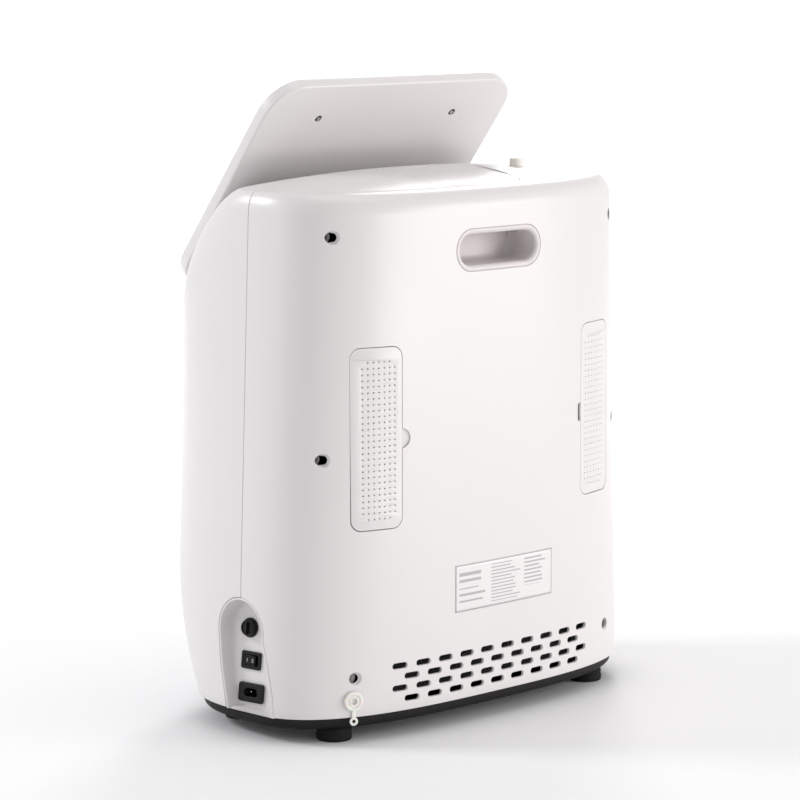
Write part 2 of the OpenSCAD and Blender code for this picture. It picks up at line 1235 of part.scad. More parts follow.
module power_supply() {
  color("silver")
    place()
      translate([125, -128, shelf_z + shelf_t])
        difference() {
          cube([62, 76, 70]);
          translate([2, 2, 2])
            cube([58, 72, 66]);
          for (i = [0 : 6])
            translate([12 + i * 6, -1, 15])
              cube([2.5, 4, 40]);
        }
}

module main_board() {
  color("darkgreen")
    place() {
      translate([-192, -120, 240])
        cube([1.6, 110, 170]);
      for (i = [0 : 3])
        translate([-190.5, -105 + i * 24, 262])
          along_x(18, 7);
      translate([-190.5, -100, 300])
        cube([8, 40, 40]);
      translate([-190.5, -45, 320])
        cube([14, 22, 60]);
      for (z = [240, 400])
        translate([-192, -20, z])
          cube([12, 10, 10]);
      translate([-196, -120, shelf_z + shelf_t])
        cube([8, 110, 16]);
    }
}

// Straight runs of silicone hose between fittings
module hoses() {
  color("#d8d4c6")
    place()
      translate([outlet_at[0], outlet_at[1], 0]) {
        translate([0, 0, 472])
          hose(36, 5.02, 7);
        translate([0, 0, shelf_z + shelf_t])
          hose(204, 3, 5);
      }
}

module hose(h, bore, r) {
  difference() {
    cylinder(r = r, h = h);
    translate([0, 0, -1])
      cylinder(r = bore, h = h + 2);
  }
}

module acoustic_foam() {
  color("#4a4a4c")
    place() {
      translate([-222, -60, 44])
        cube([12, 120, 158]);
      translate([-140, -126, 60])
        cube([280, 12, 140]);
      translate([-140, 78, 6])
        cube([280, 12, 60]);
    }
}

rear_shell();
front_shell();
base_tray();
rubber_feet();
foot_screws();
shell_screws();
filter_cover_left();
filter_cover_right();
filter_foam_left();
filter_foam_right();
filter_frame_left();
filter_frame_right();
handle_insert();
power_niche();
fuse_holder();
fuse_clip();
glass_fuse();
fuse_cap();
switch_body();
switch_rocker();
inlet_body();
inlet_pins();
drain_spout();
drain_plug();
rating_label();
display_housing();
display_glass();
display_board();
display_screws();
display_bracket();
top_hatch();
humidifier_well();
humidifier_jar();
jar_lid();
dip_tube();
oxygen_outlet();
motor_housing();
crank_rotor();
crankcases();
cylinder_heads();
piston_left();
piston_right();
vibration_mounts();
cradle();
chassis();
fan_frame();
fan_rotor();
sieve_beds();
bed_caps();
product_tank();
valve_manifold();
solenoid_coils();
valve_spool();
flow_sensor();
cooling_coil();
intake_silencer();
power_supply();
main_board();
hoses();
acoustic_foam();
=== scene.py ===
"""Oxygen concentrator: smooth moulded shells, perforated covers, display, niche fittings and materials.

The cabinet's form is the same formula as the CAD model's, at a finer resolution. Lengths in the
form functions are millimetres in the cabinet's own frame: x = 0 is the middle, y = 0 the parting
seam and z = 0 the shells' bottom edge. place() turns them into metres in the frame of the model.
"""

import json
import math

import bmesh
import bpy
from mathutils import Matrix, Vector


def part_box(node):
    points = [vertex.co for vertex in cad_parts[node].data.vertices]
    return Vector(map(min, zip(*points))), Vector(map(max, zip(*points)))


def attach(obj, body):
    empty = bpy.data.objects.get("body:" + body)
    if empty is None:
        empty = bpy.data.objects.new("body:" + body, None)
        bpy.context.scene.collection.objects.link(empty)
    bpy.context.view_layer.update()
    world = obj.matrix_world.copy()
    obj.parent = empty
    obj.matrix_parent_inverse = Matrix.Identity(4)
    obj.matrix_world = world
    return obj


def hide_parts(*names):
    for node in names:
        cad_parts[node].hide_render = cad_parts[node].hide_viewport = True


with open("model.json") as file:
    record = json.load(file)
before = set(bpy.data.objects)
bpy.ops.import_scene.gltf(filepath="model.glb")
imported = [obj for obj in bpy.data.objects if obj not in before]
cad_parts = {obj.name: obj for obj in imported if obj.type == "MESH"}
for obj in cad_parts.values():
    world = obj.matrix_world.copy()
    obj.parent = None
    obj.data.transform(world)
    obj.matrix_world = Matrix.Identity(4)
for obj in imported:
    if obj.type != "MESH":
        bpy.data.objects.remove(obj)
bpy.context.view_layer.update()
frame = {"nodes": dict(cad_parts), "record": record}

# ---- Driving dimensions, millimetres ----

MM = 0.001
SEAM_GAP = 0.15
SHELL_LOW, SHELL_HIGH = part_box("front_shell")
Z_SHIFT = SHELL_LOW.z / MM
Y_SHIFT = SHELL_HIGH.y / MM + SEAM_GAP
CABINET_H = 533
CABINET_W = 496
REAR_DEPTH = 119
FRONT_DEPTH = 196
WALL = 3
REAR_POWER = 2.94
FRONT_POWER = 2.94
SIDE_TAPER = 0.036
CHIN_H = 140
CHIN_IN = 52
CHIN_POWER = 2.25
BROW_Z = 397
BROW_POWER = 1.74
EDGE_R = 22
SIDE_EDGE = 0.45
CROWN = 14
EDGE_Z2 = CABINET_H - CROWN
EDGE_Z1 = EDGE_Z2 - 21

DISPLAY_Y = -190
DISPLAY_Z = 404.1
DISPLAY_LEAN = 38.4
DISPLAY_W = 341
DISPLAY_LEN = 272
DISPLAY_T = 13
DISPLAY_R = 40
DISPLAY_SCREW = (94.5, 92)

COVER_X = 155.5
COVER_Z = 277.5
COVER_W = 57
COVER_H = 181
COVER_R = 11
COVER_TURN = 15.45
COVER_COLS = 7
COVER_ROWS = 27
HOLE_PITCH = 6
HOLE_R = 0.75

HANDLE_Z = 457
HANDLE_W = 119
HANDLE_H = 42
POCKET_W = 107
POCKET_H = 31

NICHE_ORIGIN = (227, -4.7, 47)
NICHE_TURN = 10
NICHE_LEAN = 7
NICHE_TOP_R = 31
NICHE_TOP_Z = 81
FUSE_AT = (-3.1, 33)
SWITCH_AT = (1.7, 0.5)
INLET_AT = (4.8, -31.8)
SWITCH_HOLE = (16.8, 10.8)
INLET_HOLE = (17, 8.4)
PIN_SPACING = 8.6

DRAIN_AT = (182.6, 98.6, 16.9)
DRAIN_TURN = -20.7
OUTLET_AT = (-115, 28)
HATCH_W = 124
HATCH_Y1 = 6
HATCH_Y2 = 92
SCREW_WELLS = ((197.4, 477.3, 71), (208.3, 259.1, 67.5), (181.3, 39.1, 85.5))
LABEL_X = -9.9
LABEL_Z = 114.4
LABEL_W = 141
LABEL_H = 49
ROOT = "cabinet"

VENT_ROWS = 4
VENT_TOP_Z = 46.2
VENT_ROW_STEP = 11.4
VENT_PITCH = 29.1
SLOT_LEN = 18
SLOT_H = 6

# ---- Camera: its aim in the cabinet's own frame, its direction from there in degrees ----

CAMERA_AIM = (26, 0, 291.6)
CAMERA_AZIMUTH = 136.87
CAMERA_ELEVATION = 8.53
CAMERA_DISTANCE = 3.111
CAMERA_LENS = 135


def place(x, y, z):
    """Millimetres in the cabinet's frame to metres in the model's frame."""
    return Vector((x * MM, (y + Y_SHIFT) * MM, (z + Z_SHIFT) * MM))


# ---- Camera, floor and light ----


def make_camera():
    aim = place(*CAMERA_AIM)
    azimuth, elevation = math.radians(CAMERA_AZIMUTH), math.radians(CAMERA_ELEVATION)
    back = Vector(
        (
            math.sin(azimuth) * math.cos(elevation),
            -math.cos(azimuth) * math.cos(elevation),
            math.sin(elevation),
        )
    )
    data = bpy.data.cameras.new("camera")
    data.lens = CAMERA_LENS
    data.sensor_width = 36
    camera = bpy.data.objects.new("camera", data)
    bpy.context.collection.objects.link(camera)
    camera.location = aim + back * CAMERA_DISTANCE
    camera.rotation_euler = (-back).to_track_quat("-Z", "Y").to_euler()
    bpy.context.scene.camera = camera


def area_light(name, location, aim, size, power, tint):
    data = bpy.data.lights.new(name, "AREA")
    data.shape = "RECTANGLE"
    data.size, data.size_y = size
    data.energy = power
    data.color = tint
    light = bpy.data.objects.new(name, data)
    bpy.context.collection.objects.link(light)
    light.location = location
    light.rotation_euler = (Vector(aim) - Vector(location)).to_track_quat("-Z", "Y").to_euler()


def make_studio():
    scene = bpy.context.scene
    scene.view_settings.view_transform = "Standard"
    world = bpy.data.worlds.new("studio")
    scene.world = world
    world.use_nodes = True
    background = world.node_tree.nodes["Background"]
    background.inputs["Color"].default_value = (1.0, 0.995, 0.99, 1)
    background.inputs["Strength"].default_value = 0.6
    middle = (0, 0, 0.32)
    area_light("key_right", (-2.0, 2.6, 0.85), middle, (1.4, 1.7), 38, (1, 0.955, 0.95))
    area_light("low_fill", (-0.7, 2.4, 0.2), (0, -0.05, 0.6), (0.9, 0.3), 9, (1, 0.965, 0.955))
    area_light("side_left", (3.0, -0.9, 0.9), middle, (1.0, 1.8), 7, (0.9, 0.9, 1))
    area_light("back_left", (1.9, -1.9, 1.8), middle, (0.7, 0.7), 34, (0.98, 0.98, 1))
    area_light("back_right", (-2.0, -1.6, 2.0), middle, (0.7, 0.7), 24, (1, 0.98, 0.97))
    area_light("overhead", (-0.2, 0.3, 2.6), middle, (1.4, 1.4), 9, (1, 0.99, 0.98))
    area_light("backdrop", (-1.5, -1.6, 2.4), (-3.7, -4.0, 0.2), (3.0, 1.4), 150, (1, 1, 1))

    bm = bmesh.new()
    depth_steps = 24
    for i in range(depth_steps + 1):
        v = i / depth_steps
        run = 16 * v - 8
        rise = max(0, run - 5) ** 2 * 0.35
        for side in (-9, 9):
            spread = Vector((side, 0, 0))
            along = Vector((0, -run, rise))
            turn = Matrix.Rotation(math.radians(CAMERA_AZIMUTH - 180), 3, "Z")
            bm.verts.new(turn @ (spread + along))
    bm.verts.ensure_lookup_table()
    for i in range(depth_steps):
        bm.faces.new([bm.verts[2 * i + k] for k in (0, 1, 3, 2)])
    floor = new_object("studio_floor", bm, smooth=True)
    floor.data.materials.append(floor_material())


# ---- Materials ----


class Nodes:
    """A material's node tree with short calls for what the finishes share."""

    def __init__(self, name, **sockets):
        self.material = bpy.data.materials.new(name)
        self.material.use_nodes = True
        self.tree = self.material.node_tree
        self.shader = self.tree.nodes["Principled BSDF"]
        self.coord = self.tree.nodes.new("ShaderNodeTexCoord").outputs["Object"]
        for socket, value in sockets.items():
            self.shader.inputs[socket.replace("_", " ")].default_value = value

    def add(self, kind, **inputs):
        node = self.tree.nodes.new("ShaderNode" + kind)
        for name, value in inputs.items():
            socket = node.inputs[name.replace("_", " ")]
            if isinstance(value, bpy.types.NodeSocket):
                self.tree.links.new(value, socket)
            else:
                socket.default_value = value
        return node

    def link(self, source, target):
        self.tree.links.new(source, self.shader.inputs[target])

    def noise(self, scale, detail=4.0, roughness=0.55):
        node = self.add("TexNoise", Vector=self.coord, Scale=scale, Detail=detail, Roughness=roughness)
        return node.outputs["Fac"]

    def span(self, value, low, high):
        """A 0 to 1 value spread from low to high."""
        node = self.add("MapRange", Value=value)
        node.inputs["To Min"].default_value = low
        node.inputs["To Max"].default_value = high
        return node.outputs["Result"]

    def mix(self, factor, first, second):
        node = self.tree.nodes.new("ShaderNodeMix")
        node.data_type = "RGBA"
        pairs = ((0, factor), (6, first), (7, second))
        for index, value in pairs:
            if isinstance(value, bpy.types.NodeSocket):
                self.tree.links.new(value, node.inputs[index])
            else:
                node.inputs[index].default_value = value
        return node.outputs[2]

    def bump(self, height, strength, distance):
        node = self.add("Bump", Height=height, Strength=strength, Distance=distance)
        self.link(node.outputs["Normal"], "Normal")


def rgba(colour):
    return (*colour, 1.0)


def scaled(colour, k):
    return tuple(min(1.0, c * k) for c in colour)


def moulded_plastic(name, colour, roughness, grain=0.25, worn=None, coat=0.0, shine=0.5):
    """Injection-moulded plastic: fine spark-eroded grain, faint flow tint, rubbed edges."""
    n = Nodes(name, Coat_Weight=coat, Coat_Roughness=0.25, Specular_IOR_Level=shine)
    tint = n.mix(n.noise(3.0), rgba(scaled(colour, 0.985)), rgba(scaled(colour, 1.012)))
    if worn is not None:
        edge = n.add("NewGeometry").outputs["Pointiness"]
        band = n.add("MapRange", Value=edge)
        band.inputs["From Min"].default_value = 0.52
        band.inputs["From Max"].default_value = 0.62
        tint = n.mix(band.outputs["Result"], tint, rgba(worn))
    n.link(tint, "Base Color")
    smudge = n.span(n.noise(14.0, 6.0), roughness * 0.9, roughness * 1.12)
    n.link(smudge, "Roughness")
    n.bump(n.noise(2600.0, 2.0), grain, 0.00006)
    return n.material


def rubber(name, colour):
    n = Nodes(name, Specular_IOR_Level=0.2)
    n.link(n.mix(n.noise(40.0), rgba(scaled(colour, 0.7)), rgba(scaled(colour, 1.5))), "Base Color")
    n.link(n.span(n.noise(120.0), 0.62, 0.85), "Roughness")
    n.bump(n.noise(900.0, 3.0), 0.4, 0.0001)
    return n.material


def metal(name, colour, roughness, scale=(1, 1, 30)):
    """Machined or drawn metal with fine directional scratches."""
    n = Nodes(name, Metallic=1.0)
    stretch = n.add("Mapping", Vector=n.coord)
    stretch.inputs["Scale"].default_value = scale
    lines = n.add("TexNoise", Vector=stretch.outputs["Vector"], Scale=220.0, Detail=3.0).outputs["Fac"]
    n.link(n.mix(lines, rgba(scaled(colour, 0.82)), rgba(scaled(colour, 1.08))), "Base Color")
    n.link(n.span(lines, roughness * 0.75, roughness * 1.3), "Roughness")
    n.bump(lines, 0.15, 0.00005)
    return n.material


def foam(name, colour):
    """Open-cell foam, made of small round pores, with painted shade in the pores."""
    n = Nodes(name, Roughness=0.95, Specular_IOR_Level=0.15)
    pore_shade_and_depth = n.add("TexVoronoi", Vector=n.coord, Scale=420.0).outputs["Distance"]
    # the middle of each pore is painted darker and the struts between the pores lighter: painted shade in the
    # pores
    n.link(n.mix(pore_shade_and_depth, rgba(scaled(colour, 0.35)), rgba(scaled(colour, 1.4))), "Base Color")
    n.bump(pore_shade_and_depth, 1.0, 0.0012)
    return n.material


def clear_plastic(name, colour, roughness):
    n = Nodes(name, Transmission_Weight=0.9, IOR=1.49)
    n.link(n.mix(n.noise(20.0), rgba(scaled(colour, 0.96)), rgba(colour)), "Base Color")
    n.link(n.span(n.noise(60.0), roughness * 0.7, roughness * 1.4), "Roughness")
    n.bump(n.noise(400.0), 0.1, 0.00005)
    return n.material


def silicone(name, colour):
    """Milky silicone that lets some light in."""
    n = Nodes(name, Subsurface_Weight=0.45, Subsurface_Scale=0.004, Coat_Weight=0.15)
    n.link(n.mix(n.noise(50.0), rgba(scaled(colour, 0.95)), rgba(colour)), "Base Color")
    n.link(n.span(n.noise(90.0), 0.3, 0.45), "Roughness")
    n.bump(n.noise(700.0), 0.2, 0.00008)
    return n.material


def screen_glass(name):
    """Dark cover glass over a faint panel, with fingerprints in the gloss."""
    n = Nodes(name, Coat_Weight=1.0, Coat_Roughness=0.03)
    n.link(n.mix(n.noise(6.0), (0.012, 0.014, 0.018, 1), (0.02, 0.023, 0.03, 1)), "Base Color")
    n.link(n.span(n.noise(35.0, 8.0), 0.05, 0.16), "Roughness")
    n.bump(n.noise(900.0), 0.02, 0.00002)
    return n.material


def circuit_board(name):
    """Solder mask with straight copper tracks under it."""
    n = Nodes(name, Coat_Weight=0.4)
    bricks = n.add("TexBrick", Vector=n.coord, Scale=90.0, Mortar_Size=0.03)
    bricks.inputs["Color1"].default_value = (0.01, 0.09, 0.04, 1)
    bricks.inputs["Color2"].default_value = (0.015, 0.12, 0.05, 1)
    bricks.inputs["Mortar"].default_value = (0.05, 0.22, 0.1, 1)
    n.link(bricks.outputs["Color"], "Base Color")
    n.link(n.span(n.noise(200.0), 0.3, 0.5), "Roughness")
    n.bump(bricks.outputs["Fac"], 0.3, 0.0001)
    return n.material


def floor_material():
    n = Nodes("studio_floor_paper", Roughness=0.8, Specular_IOR_Level=0.2)
    n.link(n.mix(n.noise(2.0), (0.86, 0.86, 0.87, 1), (0.875, 0.875, 0.885, 1)), "Base Color")
    n.bump(n.noise(500.0), 0.05, 0.0002)
    return n.material


def label_material():
    """White printed film with a thin frame, and blank bars where such a label has its lines."""
    n = Nodes("rating_label_film", Roughness=0.35, Coat_Weight=0.2)
    position = n.add("SeparateXYZ", Vector=n.coord)
    centre = place(LABEL_X, 0, LABEL_Z)

    def maths(operation, first, second=0.0, third=0.0):
        node = n.tree.nodes.new("ShaderNodeMath")
        node.operation = operation
        for index, value in enumerate((first, second, third)):
            if isinstance(value, bpy.types.NodeSocket):
                n.tree.links.new(value, node.inputs[index])
            else:
                node.inputs[index].default_value = value
        return node.outputs[0]

    # u and v run from 0 to 1 over the label, u from its left as it is read
    u = maths("MULTIPLY_ADD", position.outputs["X"], -1 / (LABEL_W * MM), 0.5 + centre.x / (LABEL_W * MM))
    v = maths("MULTIPLY_ADD", position.outputs["Z"], 1 / (LABEL_H * MM), 0.5 - centre.z / (LABEL_H * MM))

    def between(value, low, high):
        above = maths("GREATER_THAN", value, low)
        below = maths("LESS_THAN", value, high)
        return maths("MULTIPLY", above, below)

    def bars(u1, u2, v1, v2, rows, fill):
        """Rows of bars of uneven length, as grey stand-ins for print."""
        row_index = maths("FLOOR", maths("MULTIPLY", v, rows))
        phase = maths("FRACT", maths("MULTIPLY", v, rows))
        ragged = maths("FRACT", maths("MULTIPLY", maths("SINE", maths("MULTIPLY", row_index, 12.9)), 43.7))
        end = maths("MULTIPLY_ADD", ragged, -0.35 * (u2 - u1), u2)
        across = maths("MULTIPLY", maths("GREATER_THAN", u, u1), maths("LESS_THAN", u, end))
        inside = maths("MULTIPLY", across, between(v, v1, v2))
        return maths("MULTIPLY", inside, between(phase, 0.5 - fill / 2, 0.5 + fill / 2))

    inner = maths("MULTIPLY", between(u, 0.012, 0.988), between(v, 0.035, 0.965))
    outer = maths("MULTIPLY", between(u, 0.004, 0.996), between(v, 0.012, 0.988))
    border = maths("SUBTRACT", outer, inner)
    blocks = (
        bars(0.04, 0.3, 0.62, 0.86, 7, 0.5),
        bars(0.04, 0.3, 0.2, 0.5, 7, 0.35),
        bars(0.36, 0.66, 0.1, 0.9, 14, 0.36),
        bars(0.7, 0.93, 0.3, 0.9, 12, 0.4),
    )
    ink = border
    for block in blocks:
        ink = maths("MAXIMUM", ink, block)
    paper = n.mix(n.noise(30.0), (0.74, 0.73, 0.73, 1), (0.77, 0.76, 0.76, 1))
    n.link(n.mix(ink, paper, (0.42, 0.42, 0.43, 1)), "Base Color")
    n.bump(n.noise(1500.0), 0.05, 0.00004)
    return n.material


WHITE = (0.73, 0.712, 0.712)


def make_materials():
    """One finish for each of the record's material slots."""
    black, worn_black = (0.007, 0.006, 0.006), (0.03, 0.03, 0.03)
    return {
        "shell_white": moulded_plastic("shell_white_abs", WHITE, 0.34, 0.12, coat=0.12),
        "base_black": moulded_plastic("base_black_abs", black, 0.5, 0.5, (0.02, 0.02, 0.02), shine=0.18),
        "rubber_black": rubber("rubber_black", (0.008, 0.008, 0.008)),
        "screw_steel": metal("screw_steel", (0.6, 0.6, 0.61), 0.3),
        "filter_foam": foam("filter_foam_grey", (0.3, 0.3, 0.305)),
        "inner_grey_plastic": moulded_plastic("inner_light_plastic", (0.72, 0.71, 0.705), 0.42, 0.3),
        # the handle insert is the shell's white plastic; this slot gives it a darker, pinker tone as painted
        # shade inside the handle pocket
        "handle_grey": moulded_plastic("pocket_plastic_painted_shade", (0.7, 0.662, 0.657), 0.42, 0.25),
        "fitting_black": moulded_plastic("fitting_black_pa", black, 0.36, 0.3, worn_black, shine=0.22),
        "contact_metal": metal("contact_metal", (0.75, 0.72, 0.66), 0.22),
        "fuse_glass": clear_plastic("fuse_glass_tube", (0.9, 0.95, 0.95), 0.05),
        "stopper_silicone": silicone("stopper_silicone", (0.86, 0.845, 0.81)),
        "label_film": label_material(),
        "screen_glass": screen_glass("screen_cover_glass"),
        "circuit_green": circuit_board("circuit_board_mask"),
        "jar_clear": clear_plastic("jar_clear_plastic", (0.85, 0.93, 0.97), 0.08),
        "fitting_ivory": moulded_plastic("fitting_ivory_pp", (0.8, 0.78, 0.72), 0.4, 0.3),
        "cast_aluminium": metal("cast_aluminium", (0.6, 0.6, 0.61), 0.5, (1, 1, 1)),
        "steel_dark": metal("steel_dark", (0.3, 0.3, 0.32), 0.35, (30, 1, 1)),
        "zinc_sheet": metal("zinc_sheet", (0.66, 0.68, 0.7), 0.4, (1, 8, 1)),
        "bed_white": moulded_plastic("sieve_bed_paint", (0.78, 0.78, 0.77), 0.3, 0.2, coat=0.4),
        "cap_grey": moulded_plastic("bed_cap_grey", (0.2, 0.2, 0.205), 0.45, 0.4),
        "sensor_green": moulded_plastic("sensor_green", (0.07, 0.35, 0.22), 0.4, 0.3),
        "coil_copper": metal("coil_copper", (0.72, 0.42, 0.26), 0.28, (1, 12, 1)),
        "foam_dark": foam("acoustic_foam", (0.07, 0.07, 0.075)),
    }


# ---- Mesh helpers ----


def new_object(name, bm, smooth=True, angle=35):
    bmesh.ops.recalc_face_normals(bm, faces=bm.faces)
    mesh = bpy.data.meshes.new(name)
    bm.to_mesh(mesh)
    bm.free()
    piece = bpy.data.objects.new(name, mesh)
    bpy.context.collection.objects.link(piece)
    if smooth:
        mesh.shade_smooth()
        mesh.set_sharp_from_angle(angle=math.radians(angle))
    return piece


def stack(bm, rings, cap_low=True, cap_high=True):
    """Skins a list of closed rings of points, with flat caps."""
    made = [[bm.verts.new(p) for p in ring] for ring in rings]
    n = len(made[0])
    for low, high in zip(made, made[1:]):
        for i in range(n):
            bm.faces.new((low[i], low[(i + 1) % n], high[(i + 1) % n], high[i]))
    if cap_low:
        bm.faces.new(list(reversed(made[0])))
    if cap_high:
        bm.faces.new(made[-1])
    return made


def round_rect(w, h, r, steps=8):
    """Outline of a rectangle with round corners, anticlockwise."""
    r = min(r, w / 2, h / 2)
    points = []
    for k, (sx, sy) in enumerate(((1, 1), (-1, 1), (-1, -1), (1, -1))):
        for i in range(steps + 1):
            a = math.radians(90 * k + 90 * i / steps)
            points.append((sx * (w / 2 - r) + r * math.cos(a), sy * (h / 2 - r) + r * math.sin(a)))
    return points


def along_y_solid(outline_of, profile, matrix):
    """Cutter or plate whose outline lies in x-z and whose profile is (y, growth) pairs."""
    bm = bmesh.new()
    rings = [
        [matrix @ (Vector((a, y, b)) * MM) for a, b in outline_of(grow)]
        for y, grow in profile
    ]
    stack(bm, rings)
    return bm


def lathe(profile, matrix, steps=48):
    """Solid of (position, radius) pairs turned about the matrix's x axis."""
    bm = bmesh.new()
    rings = []
    for x, r in profile:
        rings.append(
            [
                matrix @ (Vector((x, r * math.cos(a), r * math.sin(a))) * MM)
                for a in (2 * math.pi * i / steps for i in range(steps))
            ]
        )
    stack(bm, rings)
    return bm


def rounded(x, r, side, radius, steps=4):
    """Profile points of a rounded corner at (x, r); side is +1 for an end that faces +x."""
    return [
        (x - side * radius * (1 - math.sin(a)), r - radius * (1 - math.cos(a)))
        for a in (math.radians(90 * i / steps) for i in range(steps + 1))
    ]


def finish(piece, body, slot, *nodes):
    """Gives a piece its body and its finish, and hides the CAD nodes that it stands for."""
    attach(piece, body)
    piece.data.materials.clear()
    piece.data.materials.append(MATERIALS[slot])
    if nodes:
        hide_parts(*nodes)
    return piece


def add_bevel(piece, width, segments=3, angle=35):
    bevel = piece.modifiers.new("soft_edges", "BEVEL")
    bevel.width = width * MM
    bevel.segments = segments
    bevel.limit_method = "ANGLE"
    bevel.angle_limit = math.radians(angle)
    bevel.harden_normals = True


def apply_modifiers(piece):
    graph = bpy.context.evaluated_depsgraph_get()
    mesh = bpy.data.meshes.new_from_object(piece.evaluated_get(graph))
    old = piece.data
    piece.modifiers.clear()
    piece.data = mesh
    bpy.data.meshes.remove(old)


def cut(piece, cutters, solver="EXACT"):
    """Takes each cutter away from the piece and deletes the cutters."""
    for cutter in cutters:
        boolean = piece.modifiers.new("cut", "BOOLEAN")
        boolean.operation = "DIFFERENCE"
        boolean.solver = solver
        boolean.object = cutter
    apply_modifiers(piece)
    for cutter in cutters:
        bpy.data.objects.remove(cutter)


# ---- The cabinet's form ----


def edge_inset(z, o):
    if z <= EDGE_Z1 - o:
        return 0
    reach = EDGE_R * min(1, (z - EDGE_Z1 + o) / (EDGE_Z2 - EDGE_Z1))
    return EDGE_R - math.sqrt(max(0, EDGE_R**2 - reach**2))


def crown_k(z, o):
    if z <= EDGE_Z2 - o:
        return 1
    return math.sqrt(max(0.0004, 1 - (z - EDGE_Z2 + o) / CROWN))


def half_w(z, o=0):
    return (CABINET_W / 2 - SIDE_TAPER * z - o - SIDE_EDGE * edge_inset(z, o)) * crown_k(z, o)


def rear_d(z, o=0):
    return (REAR_DEPTH - o - edge_inset(z, o)) * crown_k(z, o)


def front_d(z, o=0):
    if z < CHIN_H:
        return FRONT_DEPTH - o - CHIN_IN * ((CHIN_H - z) / CHIN_H) ** CHIN_POWER
    if z < BROW_Z - o:
        return FRONT_DEPTH - o
    rise = max(0, (min(z, EDGE_Z2 - o) - BROW_Z + o) / (CABINET_H - BROW_Z))
    return (FRONT_DEPTH - o) * max(0, 1 - rise**BROW_POWER) ** (1 / BROW_POWER) * crown_k(z, o)


def surface_y(x, z, o=0):
    """Rear surface's y at x and z."""
    return rear_d(z, o) * max(0, 1 - (abs(x) / half_w(z, o)) ** REAR_POWER) ** (1 / REAR_POWER)


def surface_x(y, z, o=0):
    """Side surface's x at y and z."""
    depth, power = (rear_d(z, o), REAR_POWER) if y > 0 else (front_d(z, o), FRONT_POWER)
    return half_w(z, o) * max(0, 1 - (abs(y) / depth) ** power) ** (1 / power)


def surface_z(x, y):
    """Top surface's z at x and y, on the crown."""
    w, d = half_w(EDGE_Z2), rear_d(EDGE_Z2) if y > 0 else front_d(EDGE_Z2)
    power = REAR_POWER if y > 0 else FRONT_POWER
    k = ((abs(x) / w) ** power + (abs(y) / d) ** power) ** (1 / power)
    return EDGE_Z2 + CROWN * (1 - min(1, k) ** 2)


def form_value(x, y, z):
    depth, power = (rear_d(z), REAR_POWER) if y > 0 else (front_d(z), FRONT_POWER)
    return (abs(x) / half_w(z)) ** power + (abs(y) / max(depth, 1e-6)) ** power


def form_normal(x, y, z):
    """Outward normal of the outer surface, by central differences."""
    h = 0.05
    g = Vector(
        (
            form_value(x + h, y, z) - form_value(x - h, y, z),
            form_value(x, y + h, z) - form_value(x, y - h, z),
            form_value(x, y, z + h) - form_value(x, y, z - h),
        )
    )
    return g.normalized() if g.length > 1e-12 else Vector((0, 0, 1))


def rear_frame(x, z):
    """Matrix with its origin on the rear surface and local y along the outward normal, in metres."""
    y = surface_y(x, z)
    out = form_normal(x, y, z)
    across = Vector((0, 0, 1)).cross(out).normalized() * -1
    up = across.cross(out)
    turn = Matrix((across, out, up)).transposed().to_4x4()
    return Matrix.Translation(place(x, y, z)) @ turn


def row_heights(o):
    rows = [CHIN_H * i / 16 for i in range(17)]
    rows += [CHIN_H + (BROW_Z - o - CHIN_H) * i / 12 for i in range(1, 13)]
    rows += [BROW_Z - o + (EDGE_Z1 - BROW_Z) * i / 14 for i in range(1, 15)]
    rows += [EDGE_Z1 - o + (EDGE_Z2 - EDGE_Z1) * math.sin(math.radians(7.5 * i)) for i in range(1, 13)]
    shares = (0.96, 0.9, 0.8, 0.7, 0.55, 0.4, 0.25, 0.12, 0.03)
    rows += [EDGE_Z2 - o + CROWN * (1 - k * k) for k in shares]
    return rows


def mirrored_ring(right, front, z):
    both = right + [(-x, y) for x, y in reversed(right[:-1])]
    side = -1 if front else 1
    return [(x, side * y, z) for x, y in both]


def half_ring(z, o, front, gap, soft, steps):
    """Points of one half of the ring at z, from the +X seam to the -X seam."""
    depth, power = (front_d(z, o), FRONT_POWER) if front else (rear_d(z, o), REAR_POWER)
    width = half_w(z, o)
    k = crown_k(z, o)
    if gap < 0:
        arc = [math.radians(90 * i / steps) for i in range(steps + 1)]
        right = [(width, gap)] + [
            (width * math.cos(a) ** (2 / power), depth * math.sin(a) ** (2 / power)) for a in arc[:-1]
        ]
        return mirrored_ring(right + [(0, depth)], front, z)
    edge = [(gap, soft), (gap + 0.3 * soft, 0.3 * soft), (gap + soft, 0)] if soft else [(gap, 0)]
    right = []
    for y, inset in edge:
        y = y * k
        x = (width - inset * k) * (1 - min(1, y / depth) ** power) ** (1 / power)
        right.append((x, y))
    y_last = right[-1][1]
    start = math.degrees(math.asin(min(1, (y_last / depth) ** (power / 2))))
    for i in range(1, steps + 1):
        a = math.radians(start + (90 - start) * i / steps)
        right.append((width * math.cos(a) ** (2 / power), depth * math.sin(a) ** (2 / power)))
    right[-1] = (0, depth)
    return mirrored_ring(right, front, z)


def half_solid(name, o, front, gap, soft, steps, low):
    """Closed solid of one half of the cabinet."""
    bm = bmesh.new()
    rows = [z for z in row_heights(o) if z >= 0]
    if soft:
        rings = [half_ring(0, o + soft, front, gap, soft, steps)]
        rings.append(half_ring(0.3 * soft, o + 0.3 * soft, front, gap, soft, steps))
        rings.append(half_ring(soft, o, front, gap, soft, steps))
        rows = [z for z in rows if z > soft]
    else:
        rings = [[(x, y, low) for x, y, _ in half_ring(0, o, front, gap, 0, steps)]]
    rings += [half_ring(z, o, front, gap, soft, steps) for z in rows]
    stack(bm, [[place(*p) for p in ring] for ring in rings])
    return new_object(name, bm, smooth=False)


